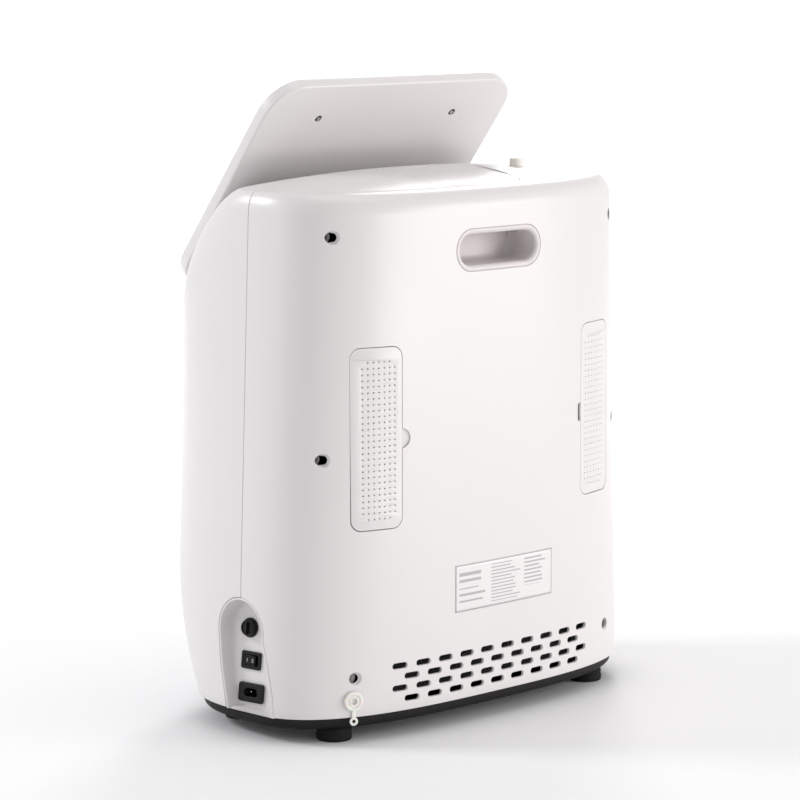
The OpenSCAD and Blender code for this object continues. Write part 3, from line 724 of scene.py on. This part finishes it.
def keep_form_normals(piece):
    """Gives faces that lie on the cabinet's outer surface its true normals."""
    mesh = piece.data
    mesh.shade_smooth()
    mesh.set_sharp_from_angle(angle=math.radians(35))
    known = {}
    normals = [(0.0, 0.0, 0.0)] * len(mesh.loops)
    for face in mesh.polygons:
        for index in face.loop_indices:
            v = mesh.loops[index].vertex_index
            if v not in known:
                p = mesh.vertices[v].co
                x, y, z = p.x / MM, p.y / MM - Y_SHIFT, p.z / MM - Z_SHIFT
                on_form = 0.9 < z < CABINET_H - 0.3 and abs(form_value(x, y, z) - 1) < 0.003
                known[v] = form_normal(x, y, z) if on_form else None
            normal = known[v]
            if normal is not None and normal.dot(face.normal) > 0.95:
                normals[index] = normal
    mesh.normals_split_custom_set(normals)


# ---- Cutters ----


def racetrack(w, h):
    return lambda grow: round_rect(w + 2 * grow, h + 2 * grow, h / 2 + grow, 10)


def plate_outline(w, h, r):
    return lambda grow: round_rect(w + 2 * grow, h + 2 * grow, r + grow, 14)


def vent_cutters():
    soft_lip = ((-9, 0), (-0.8, 0), (-0.35, 0.12), (0, 0.5), (0.4, 1.1), (4, 1.1))
    bm = bmesh.new()
    for row in range(VENT_ROWS):
        count = 10 if row % 2 == 0 else 9
        for i in range(count):
            x = (i - (count - 1) / 2) * VENT_PITCH
            z = VENT_TOP_Z - row * VENT_ROW_STEP
            part = along_y_solid(racetrack(SLOT_LEN, SLOT_H), soft_lip, rear_frame(x, z))
            mesh = bpy.data.meshes.new("slot")
            part.to_mesh(mesh)
            part.free()
            bm.from_mesh(mesh)
            bpy.data.meshes.remove(mesh)
    return new_object("vent_cutter", bm, smooth=False)


def rear_plane_frame(x, y, z):
    return Matrix.Translation(place(x, y, z))


def handle_cutter():
    """Opening for the handle's rim, with a fine soft edge."""
    profile = ((-40, 0.35), (-1.5, 0.35), (-0.9, 0.5), (-0.5, 0.9), (4, 0.9))
    bm = along_y_solid(
        racetrack(HANDLE_W, HANDLE_H), profile, rear_plane_frame(0, REAR_DEPTH, HANDLE_Z)
    )
    return new_object("handle_cutter", bm, smooth=False)


def cover_frame(side):
    """Local x runs along the cover's chord away from the middle, local y outwards."""
    x = COVER_X
    y = surface_y(x, COVER_Z) - 1.9
    turn = Matrix.Rotation(math.radians(-COVER_TURN), 4, "Z")
    flip = Matrix.Diagonal((side, 1, 1, 1))
    local = Matrix.Translation(Vector((x, y, COVER_Z)) * MM) @ turn
    return Matrix.Translation(place(0, 0, 0)) @ flip @ local


def cover_cutters(side):
    lip = ((-12, 0), (-0.4, 0), (0.1, 0.15), (2.6, 0.4), (8, 0.4))
    grown = plate_outline(COVER_W + 1.1, COVER_H + 1.1, COVER_R + 0.4)
    opening = new_object("opening", along_y_solid(grown, lip, cover_frame(side)), smooth=False)
    x0 = -COVER_W / 2

    def finger_notch(grow):
        r = 10 + grow
        arc = [math.radians(90 + 180 * i / 20) for i in range(21)]
        points = [(x0 + r * math.cos(a), r * math.sin(a) - 1.5) for a in arc]
        return points + [(x0 + 1, -r - 1.5), (x0 + 1, r - 1.5)]

    shallow = ((-2.6, 0), (0.6, 0), (1.6, 0.5), (8, 0.5))
    notch = new_object("notch", along_y_solid(finger_notch, shallow, cover_frame(side)), smooth=False)
    return [opening, notch]


def well_cutters():
    """Recessed screw holes, cut straight along y."""
    cutters = []
    profile = [(-30, 4.5), (-5, 4.6), (-3, 4.9), (-1.6, 5.5), (-0.5, 6.4), (2.5, 7.6), (14, 7.6)]
    for side in (-1, 1):
        for x, z, _ in SCREW_WELLS:
            y = surface_y(x, z)
            turn = Matrix.Rotation(math.radians(90), 4, "Z")
            matrix = Matrix.Translation(place(side * x, y, z)) @ turn
            cutters.append(new_object("well_cutter", lathe(profile, matrix, 40), smooth=False))
    return cutters


def niche_outline(grow, steps=24, low=-0.6):
    """Arch in y-z from the rear foot over the top to the front foot."""
    r = NICHE_TOP_R + grow
    arc = [math.radians(-8 + 196 * i / steps) for i in range(steps + 1)]
    top = [(r * math.cos(a), NICHE_TOP_Z + r * math.sin(a)) for a in arc]
    rear = [(45 + grow, low), (43 + grow, 20), (38.5 + grow, 45)]
    front = [(-27 - grow, 45), (-21 - grow, 20), (-16 - grow, low)]
    return rear + top + front


def niche_cutter():
    rings = []
    for x_off, grow in ((-40, 2.8), (-1, 2.8), (0.2, 3.2), (8, 3.2)):
        rings.append(
            [place(surface_x(y, max(z, 0)) + x_off, y, z if z > 0 else z - 4) for y, z in niche_outline(grow)]
        )
    bm = bmesh.new()
    stack(bm, rings)
    return new_object("niche_cutter", bm, smooth=False)


def hatch_ring(grow, z_of):
    outline = round_rect(HATCH_W + 2 * grow, HATCH_Y2 - HATCH_Y1 + 2 * grow, 12 + grow, 8)
    middle = (HATCH_Y1 + HATCH_Y2) / 2
    return [place(x, y + middle, z_of(x, y + middle)) for x, y in outline]


def hatch_cutter():
    bm = bmesh.new()
    profile = ((-12, 0.7), (-0.5, 0.7), (0.1, 1.1), (6, 1.1))
    stack(bm, [hatch_ring(grow, lambda x, y, d=dz: surface_z(x, y) + d) for dz, grow in profile])
    return new_object("hatch_cutter", bm, smooth=False)


def outlet_cutter():
    up = Matrix.Rotation(math.radians(-90), 4, "Y")
    matrix = Matrix.Translation(place(*OUTLET_AT, surface_z(*OUTLET_AT))) @ up
    bm = lathe([(-12, 7.5), (-0.6, 7.5), (0.3, 8.2), (5, 8.2)], matrix)
    return new_object("outlet_cutter", bm, smooth=False)


def drain_frame():
    turn = Matrix.Rotation(math.radians(DRAIN_TURN), 4, "Z")
    return Matrix.Translation(place(*DRAIN_AT)) @ turn


def drain_cutter():
    matrix = drain_frame() @ Matrix.Rotation(math.radians(90), 4, "Z")
    return new_object("drain_cutter", lathe([(-20, 8), (20, 8)], matrix), smooth=False)


def display_frame():
    """Local x across, z up the slope, y through the panel towards the cabinet."""
    lean = Matrix.Rotation(math.radians(-DISPLAY_LEAN), 4, "X")
    return Matrix.Translation(place(0, DISPLAY_Y, DISPLAY_Z)) @ lean


def seat_cutter():
    bm = bmesh.new()
    bmesh.ops.create_cube(bm, size=1)
    size = Vector((0.6, 0.25, 0.5))
    centre = Vector((0, -0.125, 0.1))
    for v in bm.verts:
        v.co = display_frame() @ (Vector(a * b for a, b in zip(v.co, size)) + centre)
    return new_object("seat_cutter", bm, smooth=False)


# ---- Cabinet pieces ----


def make_rear_shell():
    piece = half_solid("rear_shell_skin", 0, False, 0.25, 0.8, 84, 0)
    cavity = half_solid("rear_cavity", WALL, False, -6, 0, 40, -30)
    cutters = [cavity, vent_cutters(), handle_cutter(), niche_cutter(), hatch_cutter()]
    cutters += [outlet_cutter(), drain_cutter()] + well_cutters()
    cutters += cover_cutters(1) + cover_cutters(-1)
    cut(piece, cutters)
    keep_form_normals(piece)
    return finish(piece, ROOT, "shell_white", "rear_shell")


def make_front_shell():
    piece = half_solid("front_shell_skin", 0, True, 0.25, 0.8, 84, 0)
    cavity = half_solid("front_cavity", WALL, True, -6, 0, 40, -30)
    cut(piece, [cavity, niche_cutter(), seat_cutter()])
    keep_form_normals(piece)
    return finish(piece, ROOT, "shell_white", "front_shell")


def make_base():
    bm = bmesh.new()
    rings = []
    profile = ((-12, 9), (-11.6, 8), (-10.5, 6.8), (-9, 5.6), (-7, 4.9), (-0.3, 4.5), (-0.3, 9), (-8, 9.5))
    for z, inset in profile:
        half = half_ring(0, inset, False, 0, 0, 60)
        front = half_ring(0, inset, True, 0, 0, 60)
        rings.append([place(x, y, z) for x, y, _ in half + list(reversed(front[1:-1]))])
    stack(bm, rings)
    piece = new_object("base_tray_moulding", bm)
    finish(piece, ROOT, "base_black", "base_tray")


def make_feet():
    low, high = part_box("rubber_feet")
    r = 18
    height = (high.z - low.z) / MM
    up = Matrix.Rotation(math.radians(-90), 4, "Y")
    profile = [(1, 6.5), (0.6, 7.2), (0, 8), (0, r - 1.5), (0.4, r - 0.5), (1.5, r), (6, r - 0.1)]
    profile += [(7, r - 0.8), (8, r - 0.8), (9, r - 0.2)]
    profile += [(height - 3, r - 0.6), (height - 1, r - 1.6), (height, r - 3)]
    spots = ((182, 70), (-182, 70), (190, -62), (-190, -62))
    for index, (x, y) in enumerate(spots):
        matrix = Matrix.Translation(place(x, y, -Z_SHIFT)) @ up
        piece = new_object(f"rubber_foot_{index + 1}", lathe([(10, 3.3), (10, 6.4)] + profile, matrix))
        finish(piece, ROOT, "rubber_black", "rubber_feet")


def cover_point(side, u, v, depth):
    """Point of a filter cover, which follows the cabinet's surface."""
    turn = math.radians(COVER_TURN)
    x = COVER_X + u * math.cos(turn)
    z = COVER_Z + v
    y = surface_y(x, z)
    out = form_normal(x, y, z)
    return place(side * (x + out.x * depth), y + out.y * depth, z + out.z * depth)


def filled_plate(name, outline, holes, half_thick, soft):
    """Flat plate in x-y from an outline and holes, with softened edges, as a mesh in millimetres."""
    curve = bpy.data.curves.new(name, "CURVE")
    curve.dimensions = "2D"
    curve.fill_mode = "BOTH"
    curve.extrude = half_thick - soft
    curve.bevel_depth = soft
    curve.bevel_resolution = 1
    curve.offset = -soft
    for points in [outline] + holes:
        spline = curve.splines.new("POLY")
        spline.points.add(len(points) - 1)
        spline.use_cyclic_u = True
        for point, (x, y) in zip(spline.points, points):
            point.co = (x, y, 0, 1)
    source = bpy.data.objects.new(name, curve)
    bpy.context.collection.objects.link(source)
    graph = bpy.context.evaluated_depsgraph_get()
    mesh = bpy.data.meshes.new_from_object(source.evaluated_get(graph))
    bpy.data.objects.remove(source)
    bm = bmesh.new()
    bm.from_mesh(mesh)
    bpy.data.meshes.remove(mesh)
    bmesh.ops.remove_doubles(bm, verts=bm.verts, dist=0.001)
    return bm


def circle(x, y, r, steps=12):
    return [
        (x + r * math.cos(a), y + r * math.sin(a))
        for a in (2 * math.pi * i / steps for i in range(steps))
    ]


def make_cover(side, node, body):
    holes = []
    for col in range(COVER_COLS):
        for row in range(COVER_ROWS):
            corner = col in (0, COVER_COLS - 1) and row in (0, COVER_ROWS - 1)
            if not corner:
                u = (col - (COVER_COLS - 1) / 2) * HOLE_PITCH - 1.85
                v = (row - (COVER_ROWS - 1) / 2) * HOLE_PITCH - 1.8
                holes.append(circle(u, v, HOLE_R))
    outline = round_rect(COVER_W, COVER_H, COVER_R, 8)
    bm = filled_plate(node, outline, holes, 1.25, 0.3)
    for v in bm.verts:
        v.co = cover_point(side, v.co.x, v.co.y, v.co.z - 1.25)
    piece = new_object(node + "_grille", bm)
    keep_form_normals(piece)
    finish(piece, body, "shell_white", node)


def make_hatch():
    bm = bmesh.new()
    rings = []
    for dz, grow in ((-3, -0.2), (-0.5, -0.2), (-0.15, -0.35), (0, -0.7)):
        rings.append(hatch_ring(grow, lambda x, y, d=dz: surface_z(x, y) + d))
    for k in (0.97, 0.9, 0.75, 0.6, 0.4, 0.2, 0.05):
        middle = (HATCH_Y1 + HATCH_Y2) / 2
        outline = round_rect(HATCH_W - 1.4, HATCH_Y2 - HATCH_Y1 - 1.4, 11.3, 8)
        rings.append(
            [place(x * k, y * k + middle, surface_z(x * k, y * k + middle)) for x, y in outline]
        )
    stack(bm, rings)
    piece = new_object("top_hatch_lid", bm)
    scoop = bmesh.new()
    bmesh.ops.create_uvsphere(scoop, u_segments=64, v_segments=32, radius=0.0155)
    for v in scoop.verts:
        v.co = v.co + place(0, HATCH_Y2 + 7, CABINET_H + 3)
    cut(piece, [new_object("scoop", scoop, smooth=False)])
    keep_form_normals(piece)
    finish(piece, "hatch", "shell_white", "top_hatch")


def block(x1, x2, y1, y2, z1, z2):
    bm = bmesh.new()
    bmesh.ops.create_cube(bm, size=1)
    for v in bm.verts:
        v.co = place(
            x1 + (x2 - x1) * (v.co.x + 0.5),
            y1 + (y2 - y1) * (v.co.y + 0.5),
            z1 + (z2 - z1) * (v.co.z + 0.5),
        )
    return bm


def make_handle_pocket():
    """Rolled rim and the bowl behind it, open upwards inside for the fingertips."""
    rim = (HANDLE_W - POCKET_W) / 2 - 0.2
    front = REAR_DEPTH - 0.5
    roll = [(front - 5.5, rim), (front - 0.9, rim), (front - 0.3, rim - 0.25), (front, rim - 0.9)]
    for i in range(10):
        a = math.radians(10 * i)
        roll.append((front - 4.5 * (1 - math.cos(a)), (rim - 2) * (1 - math.sin(a))))
    soft = 7
    arc = [math.radians(90 * i / 6) for i in range(7)]
    bowl = [(79 + soft * (1 - math.sin(a)), -soft * (1 - math.cos(a))) for a in arc]
    profile = [(76, 3), (front - 5.5, 3)] + roll + bowl
    piece = new_object(
        "handle_pocket",
        along_y_solid(racetrack(POCKET_W, POCKET_H), profile, rear_plane_frame(0, 0, HANDLE_Z)),
    )
    half, back, top, skin = 49, 97, HANDLE_Z + 44, 3
    slot = block(-half, half, 79.5, back, HANDLE_Z, top)
    cut(piece, [new_object("finger_slot", slot, smooth=False)])
    piece.data.shade_smooth()
    piece.data.set_sharp_from_angle(angle=math.radians(40))
    # the handle_grey finish is white plastic with painted shade, darker and pinker than the shell
    finish(piece, ROOT, "handle_grey", "handle_insert")

    box = block(-half - skin, half + skin, 76, back + skin, HANDLE_Z + 16, top + skin)
    hood = new_object("finger_hood", box, smooth=False)
    inside = block(-half, half, 79, back, HANDLE_Z, top)
    cut(hood, [new_object("hood_inside", inside, smooth=False)])
    add_bevel(hood, 0.8)
    # the hood shares the handle_grey finish: white plastic with painted shade
    finish(hood, ROOT, "handle_grey", "handle_insert")


def wall_x(y, z):
    """x of the niche's wall at y and z."""
    turn, lean = math.radians(NICHE_TURN), math.radians(NICHE_LEAN)
    nx, ny, nz = math.cos(lean) * math.cos(turn), math.cos(lean) * math.sin(turn), math.sin(lean)
    x0, y0, z0 = NICHE_ORIGIN
    return x0 - ((y - y0) * ny + (z - z0) * nz) / nx


def make_niche():
    rings = []
    for dx, grow in ((-3, 2.4), (0, 2.4)):
        rings.append([place(wall_x(y, z) + dx, y, z) for y, z in niche_outline(grow)])
    rim = [(-1.2, 2.4), (-0.5, 2.25), (-0.12, 1.9), (0, 1.3), (-0.12, 0.7), (-0.5, 0.25), (-1.2, 0)]
    for dx, grow in rim:
        rings.append([place(surface_x(y, max(z, 0)) + dx, y, z) for y, z in niche_outline(grow)])
    for share, grow in ((0.35, -0.5), (0.7, -1.1)):
        ring = []
        for y, z in niche_outline(grow, low=1.4):
            top, deep = surface_x(y, max(z, 0)) - 1.2, wall_x(y, z) + 2.5
            ring.append(place(top + (deep - top) * share, y, z))
        rings.append(ring)
    for dx, grow in ((2.5, -1.6), (1.1, -2.0), (0.3, -3.0), (0, -4.4)):
        rings.append([place(wall_x(y, z) + dx, y, z) for y, z in niche_outline(grow, low=2)])
    bm = bmesh.new()
    stack(bm, rings)
    piece = new_object("power_niche_moulding", bm, angle=50)
    holes = [new_object("fuse_hole", lathe([(-9, 7.2), (4, 7.2)], niche_frame(FUSE_AT)), smooth=False)]
    for spot, w, h in ((SWITCH_AT, 20, 14), (INLET_AT, 25, 15)):
        bm = bmesh.new()
        outline = round_rect(w, h, 1, 3)
        stack(bm, [[niche_frame(spot) @ (Vector((x, a, b)) * MM) for a, b in outline] for x in (-9, 4)])
        holes.append(new_object("fitting_hole", bm, smooth=False))
    cut(piece, holes, "FAST")
    piece.data.shade_smooth()
    piece.data.set_sharp_from_angle(angle=math.radians(50))
    finish(piece, ROOT, "shell_white", "power_niche")


def niche_frame(spot):
    turn = Matrix.Rotation(math.radians(NICHE_TURN), 4, "Z")
    lean = Matrix.Rotation(math.radians(-NICHE_LEAN), 4, "Y")
    local = Matrix.Translation(Vector((0, spot[0], spot[1])) * MM)
    return Matrix.Translation(place(*NICHE_ORIGIN)) @ turn @ lean @ local


def make_fuse():
    matrix = niche_frame(FUSE_AT)
    ring = [(-30, 0.5), (-30, 7), (0, 7), (0, 10)] + rounded(2, 10, 1, 0.8)
    ring += [(2, 5.7), (-27, 5.6), (-27.5, 0.5)]
    finish(new_object("fuse_holder_ring", lathe(ring, matrix)), ROOT, "fitting_black", "fuse_holder")
    cap = [(-3.6, 0.5), (-3.6, 5.2), (2.3, 5.2), (2.3, 8.2)] + rounded(6.4, 8.2, 1, 1.2) + [(6.4, 6.6)]
    cap += [(5.6, 6.2), (5.6, 0.5)]
    piece = new_object("fuse_cap_knob", lathe(cap, matrix))
    finish(piece, "fuse_turn", "fitting_black", "fuse_cap")
    bm = bmesh.new()
    bmesh.ops.create_cube(bm, size=1)
    for v in bm.verts:
        narrow = 0.8 if v.co.x > 0 else 1.0
        v.co = matrix @ (Vector((v.co.x * 3.6 + 7.0, v.co.y * 2.6 * narrow, v.co.z * 12.2)) * MM)
    rib = new_object("fuse_cap_rib", bm)
    add_bevel(rib, 0.5)
    finish(rib, "fuse_turn", "fitting_black", "fuse_cap")


def bezel(name, matrix, w, h, r, hole, thick, node, soft=0.7):
    """Frame plate with a hole, standing on the niche's wall."""
    bm = filled_plate(name, round_rect(w, h, r, 6), [hole], thick / 2, soft)
    for v in bm.verts:
        v.co = matrix @ (Vector((v.co.z + thick / 2, v.co.x, v.co.y)) * MM)
    piece = new_object(name, bm, angle=30)
    finish(piece, ROOT, "fitting_black", node)


def well(name, matrix, outline, depth, node):
    """Open box behind a bezel: walls and a floor."""
    bm = bmesh.new()
    rings = []
    for x, grow in ((0.6, 1.2), (-depth - 1, 1.2)):
        rings.append([matrix @ (Vector((x, a, b)) * MM) for a, b in outline(grow)])
    inside = []
    for x, grow in ((-depth, 0.0), (0.6, 0.0)):
        inside.append([matrix @ (Vector((x, a, b)) * MM) for a, b in outline(grow)])
    made_out = stack(bm, rings, cap_low=False)
    made_in = stack(bm, inside, cap_high=False)
    n = len(made_out[0])
    for i in range(n):
        j = (i + 1) % n
        bm.faces.new((made_out[0][i], made_out[0][j], made_in[1][j], made_in[1][i]))
    piece = new_object(name, bm)
    finish(piece, ROOT, "fitting_black", node)


def make_switch():
    matrix = niche_frame(SWITCH_AT)
    w, h = SWITCH_HOLE
    hole = list(reversed(round_rect(w, h, 1, 4)))
    bezel("switch_bezel", matrix, 25, 18, 2, hole, 2.2, "switch_body")
    well("switch_well", matrix, lambda g: round_rect(w + 2 * g, h + 2 * g, 1 + g, 4), 8, "switch_body")
    tilt = matrix @ Matrix.Rotation(math.radians(-12), 4, "Z")
    outline = [(-4, -3), (1.5, -7.6), (4, -7.4)]
    outline += [(2.4 + 1.6 * (k / 6) ** 2, k * 7.4 / 6) for k in range(-5, 6)]
    outline += [(4, 7.4), (1.5, 7.6), (-4, 3)]
    bm = bmesh.new()
    stack(bm, [[tilt @ (Vector((a, b, z)) * MM) for a, b in outline] for z in (-5, 5)])
    rocker = new_object("switch_rocker_key", bm)
    add_bevel(rocker, 0.5)
    finish(rocker, "rocker", "fitting_black", "switch_rocker")

    def mark(name, points, y):
        a = math.degrees(math.atan2(2 * 1.6 * abs(y) / 7.4, 7.4))
        lift = 2.4 + 1.6 * (abs(y) / 7.4) ** 2
        local = Matrix.Translation(Vector((lift, y, 0)) * MM)
        local = local @ Matrix.Rotation(math.radians(-a if y > 0 else a), 4, "Z")
        plate = filled_plate(name, points[0], points[1:], 0.12, 0.03)
        for v in plate.verts:
            v.co = tilt @ local @ (Vector((v.co.z + 0.02, v.co.x, v.co.y)) * MM)
        piece = new_object(name, plate)
        finish(piece, "rocker", "fitting_ivory", "switch_rocker")

    mark("switch_mark_off", [circle(0, 0, 1.9, 28), list(reversed(circle(0, 0, 1.45, 28)))], 4.3)
    mark("switch_mark_on", [round_rect(0.5, 3.4, 0.2, 3)], -4.3)


def make_inlet():
    matrix = niche_frame(INLET_AT)
    w, h = INLET_HOLE
    r = h / 2
    hole = list(reversed(round_rect(w, h, r, 10)))
    bezel("inlet_bezel", matrix, 32, 19.5, 3, hole, 3, "inlet_body", 0.9)
    well("inlet_well", matrix, lambda g: round_rect(w + 2 * g, h + 2 * g, r + g, 8), 12, "inlet_body")
    for index, y in enumerate((-PIN_SPACING / 2, PIN_SPACING / 2)):
        pin = matrix @ Matrix.Translation(Vector((0, y, 0)) * MM)
        bm = lathe([(-12, 1.2)] + rounded(-3, 1.2, 1, 0.9), pin, 24)
        finish(new_object(f"inlet_pin_{index + 1}", bm), ROOT, "contact_metal", "inlet_pins")


def make_drain():
    matrix = drain_frame() @ Matrix.Rotation(math.radians(90), 4, "Z")
    plug = [(-10, 0.4), (-10, 4.6), (-9, 4.95), (1.4, 4.95), (1.4, 9.2)]
    plug += [(1.8, 9.8), (2.8, 10), (3.9, 9.7), (4.6, 8.8), (4.6, 7.2), (3.4, 6.4), (3.4, 5.2), (4.4, 4.8)]
    plug += [(4.4, 3.6), (1.2, 3.3), (1, 0.4)]
    piece = new_object("drain_stopper", lathe(plug, matrix))
    finish(piece, "drain_stopper", "stopper_silicone", "drain_plug")
    neck, loop, middle = 1.9, 4.3, -20.5
    join = math.degrees(math.asin(neck / loop))
    ends = [math.radians(90 + join + (360 - 2 * join) * i / 28) for i in range(29)]
    outline = [(neck, -8), (-neck, -8)] + [(loop * math.cos(a), middle + loop * math.sin(a)) for a in ends]
    hole = list(reversed(circle(0, middle, 1.9, 20)))
    bm = filled_plate("drain_tab", outline, [hole], 0.95, 0.35)
    for v in bm.verts:
        v.co = drain_frame() @ (Vector((v.co.x, 2.7 + v.co.z, v.co.y)) * MM)
    tab = new_object("drain_stopper_tab", bm)
    finish(tab, "drain_stopper", "stopper_silicone", "drain_plug")


def make_label():
    bm = bmesh.new()
    nx, nz = 48, 12
    rows = []
    for j in range(nz + 1):
        z = LABEL_Z - LABEL_H / 2 + LABEL_H * j / nz
        row = []
        for i in range(nx + 1):
            x = LABEL_X - LABEL_W / 2 + LABEL_W * i / nx
            row.append(bm.verts.new(place(x, surface_y(x, z) + 0.05, z)))
        rows.append(row)
    for low, high in zip(rows, rows[1:]):
        for i in range(nx):
            bm.faces.new((low[i], high[i], high[i + 1], low[i + 1]))
    piece = new_object("rating_label_sheet", bm)
    thick = piece.modifiers.new("film", "SOLIDIFY")
    thick.thickness = 0.2 * MM
    thick.offset = 1
    finish(piece, ROOT, "label_film", "rating_label")


# ---- Display ----


def make_display():
    local = display_frame() @ Matrix.Translation(Vector((0, 0, DISPLAY_LEN / 2)) * MM)
    arc = [math.radians(90 * i / 6) for i in range(7)]
    back_r, front_r = 2.2, 1.6
    back = [(-back_r * (1 - math.sin(a)), -back_r * (1 - math.cos(a))) for a in arc]
    front = [(-DISPLAY_T + front_r * (1 - math.sin(a)), -front_r * (1 - math.cos(a))) for a in arc]
    outer = [(y, g) for y, g in reversed(back)] + front
    recess = [(-DISPLAY_T, -2.5), (-DISPLAY_T + 3.2, -2.7), (-DISPLAY_T + 3.2, -9), (-2, -9.5)]
    profile = outer + recess
    outline = plate_outline(DISPLAY_W, DISPLAY_LEN, DISPLAY_R)
    rings = []
    for y, grow in profile:
        rings.append([local @ (Vector((a, y, b)) * MM) for a, b in outline(grow)])
    bm = bmesh.new()
    stack(bm, rings)
    housing = new_object("display_housing_shell", bm)
    holes = []
    turn = Matrix.Rotation(math.radians(90), 4, "Z")
    screw_x, screw_z = DISPLAY_SCREW
    for side in (-1, 1):
        spot = local @ Matrix.Translation(Vector((side * screw_x, 0, screw_z)) * MM) @ turn
        bm = lathe([(-3, 4.2), (-0.4, 4.2), (0.1, 4.6), (2, 4.6)], spot, 32)
        holes.append(new_object("screw_hole", bm, smooth=False))
    cut(housing, holes)
    housing.data.shade_smooth()
    housing.data.set_sharp_from_angle(angle=math.radians(30))
    finish(housing, ROOT, "shell_white", "display_housing")

    glass = bmesh.new()
    soft = 0.8
    edge = [(-DISPLAY_T + soft * (1 - math.sin(a)), -2.9 - soft * (1 - math.cos(a))) for a in arc]
    rings = []
    for y, grow in [(-DISPLAY_T + 3, -2.9)] + edge:
        rings.append([local @ (Vector((a, y, b)) * MM) for a, b in outline(grow)])
    stack(glass, rings)
    piece = new_object("display_cover_glass", glass)
    finish(piece, ROOT, "screen_glass", "display_glass")


def make_outlet():
    up = Matrix.Rotation(math.radians(-90), 4, "Y")
    low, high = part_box("oxygen_outlet")
    base = Matrix.Translation(Vector((*place(*OUTLET_AT, 0).xy, low.z))) @ up
    top = (high.z - low.z) / MM
    profile = [(0, 1.6), (0, 5), (14, 5), (14, 11), (16.8, 11), (16.8, 7)]
    profile += rounded(top, 7, 1, 1.0) + [(top, 3.8), (top - 0.8, 3)]
    profile += [(top - 12, 3), (top - 12, 1.5), (0.01, 1.5)]
    bm = lathe(profile, base)
    piece = new_object("oxygen_outlet_socket", bm)
    finish(piece, ROOT, "fitting_ivory", "oxygen_outlet")


def make_screw_tubes():
    """Tubes behind the recessed screw holes, each with the seat of its screw."""
    turn = Matrix.Rotation(math.radians(90), 4, "Z")
    for side, word in ((-1, "right"), (1, "left")):
        for index, (x, z, seat) in enumerate(SCREW_WELLS):
            y = min(surface_y(x - 7, z), surface_y(x + 7, z)) - WALL
            matrix = Matrix.Translation(place(side * x, 0, z)) @ turn
            profile = [(5, 2.4), (5, 7), (y - 1, 7), (y - 1, 4.6), (seat + 1, 4.5), (seat, 3.9), (seat, 2.4)]
            piece = new_object(f"screw_tube_{word}_{index + 1}", lathe(profile, matrix))
            finish(piece, ROOT, "inner_grey_plastic", "rear_shell")


def dress_cad_nodes():
    """Every CAD node that stays gets its slot's procedural finish."""
    slots = {part["node"]: part["material_slot"] for part in frame["record"]["subparts"]}
    for name, node in frame["nodes"].items():
        material = MATERIALS[slots[name]]
        if node.material_slots:
            for slot in node.material_slots:
                slot.material = material
        else:
            node.data.materials.append(material)


MATERIALS = make_materials()
make_camera()
make_studio()
dress_cad_nodes()
make_rear_shell()
make_front_shell()
make_base()
make_feet()
make_cover(1, "filter_cover_left", "filter_door_left")
make_cover(-1, "filter_cover_right", "filter_door_right")
make_hatch()
make_handle_pocket()
make_niche()
make_fuse()
make_switch()
make_inlet()
make_drain()
make_label()
make_display()
make_outlet()
make_screw_tubes()
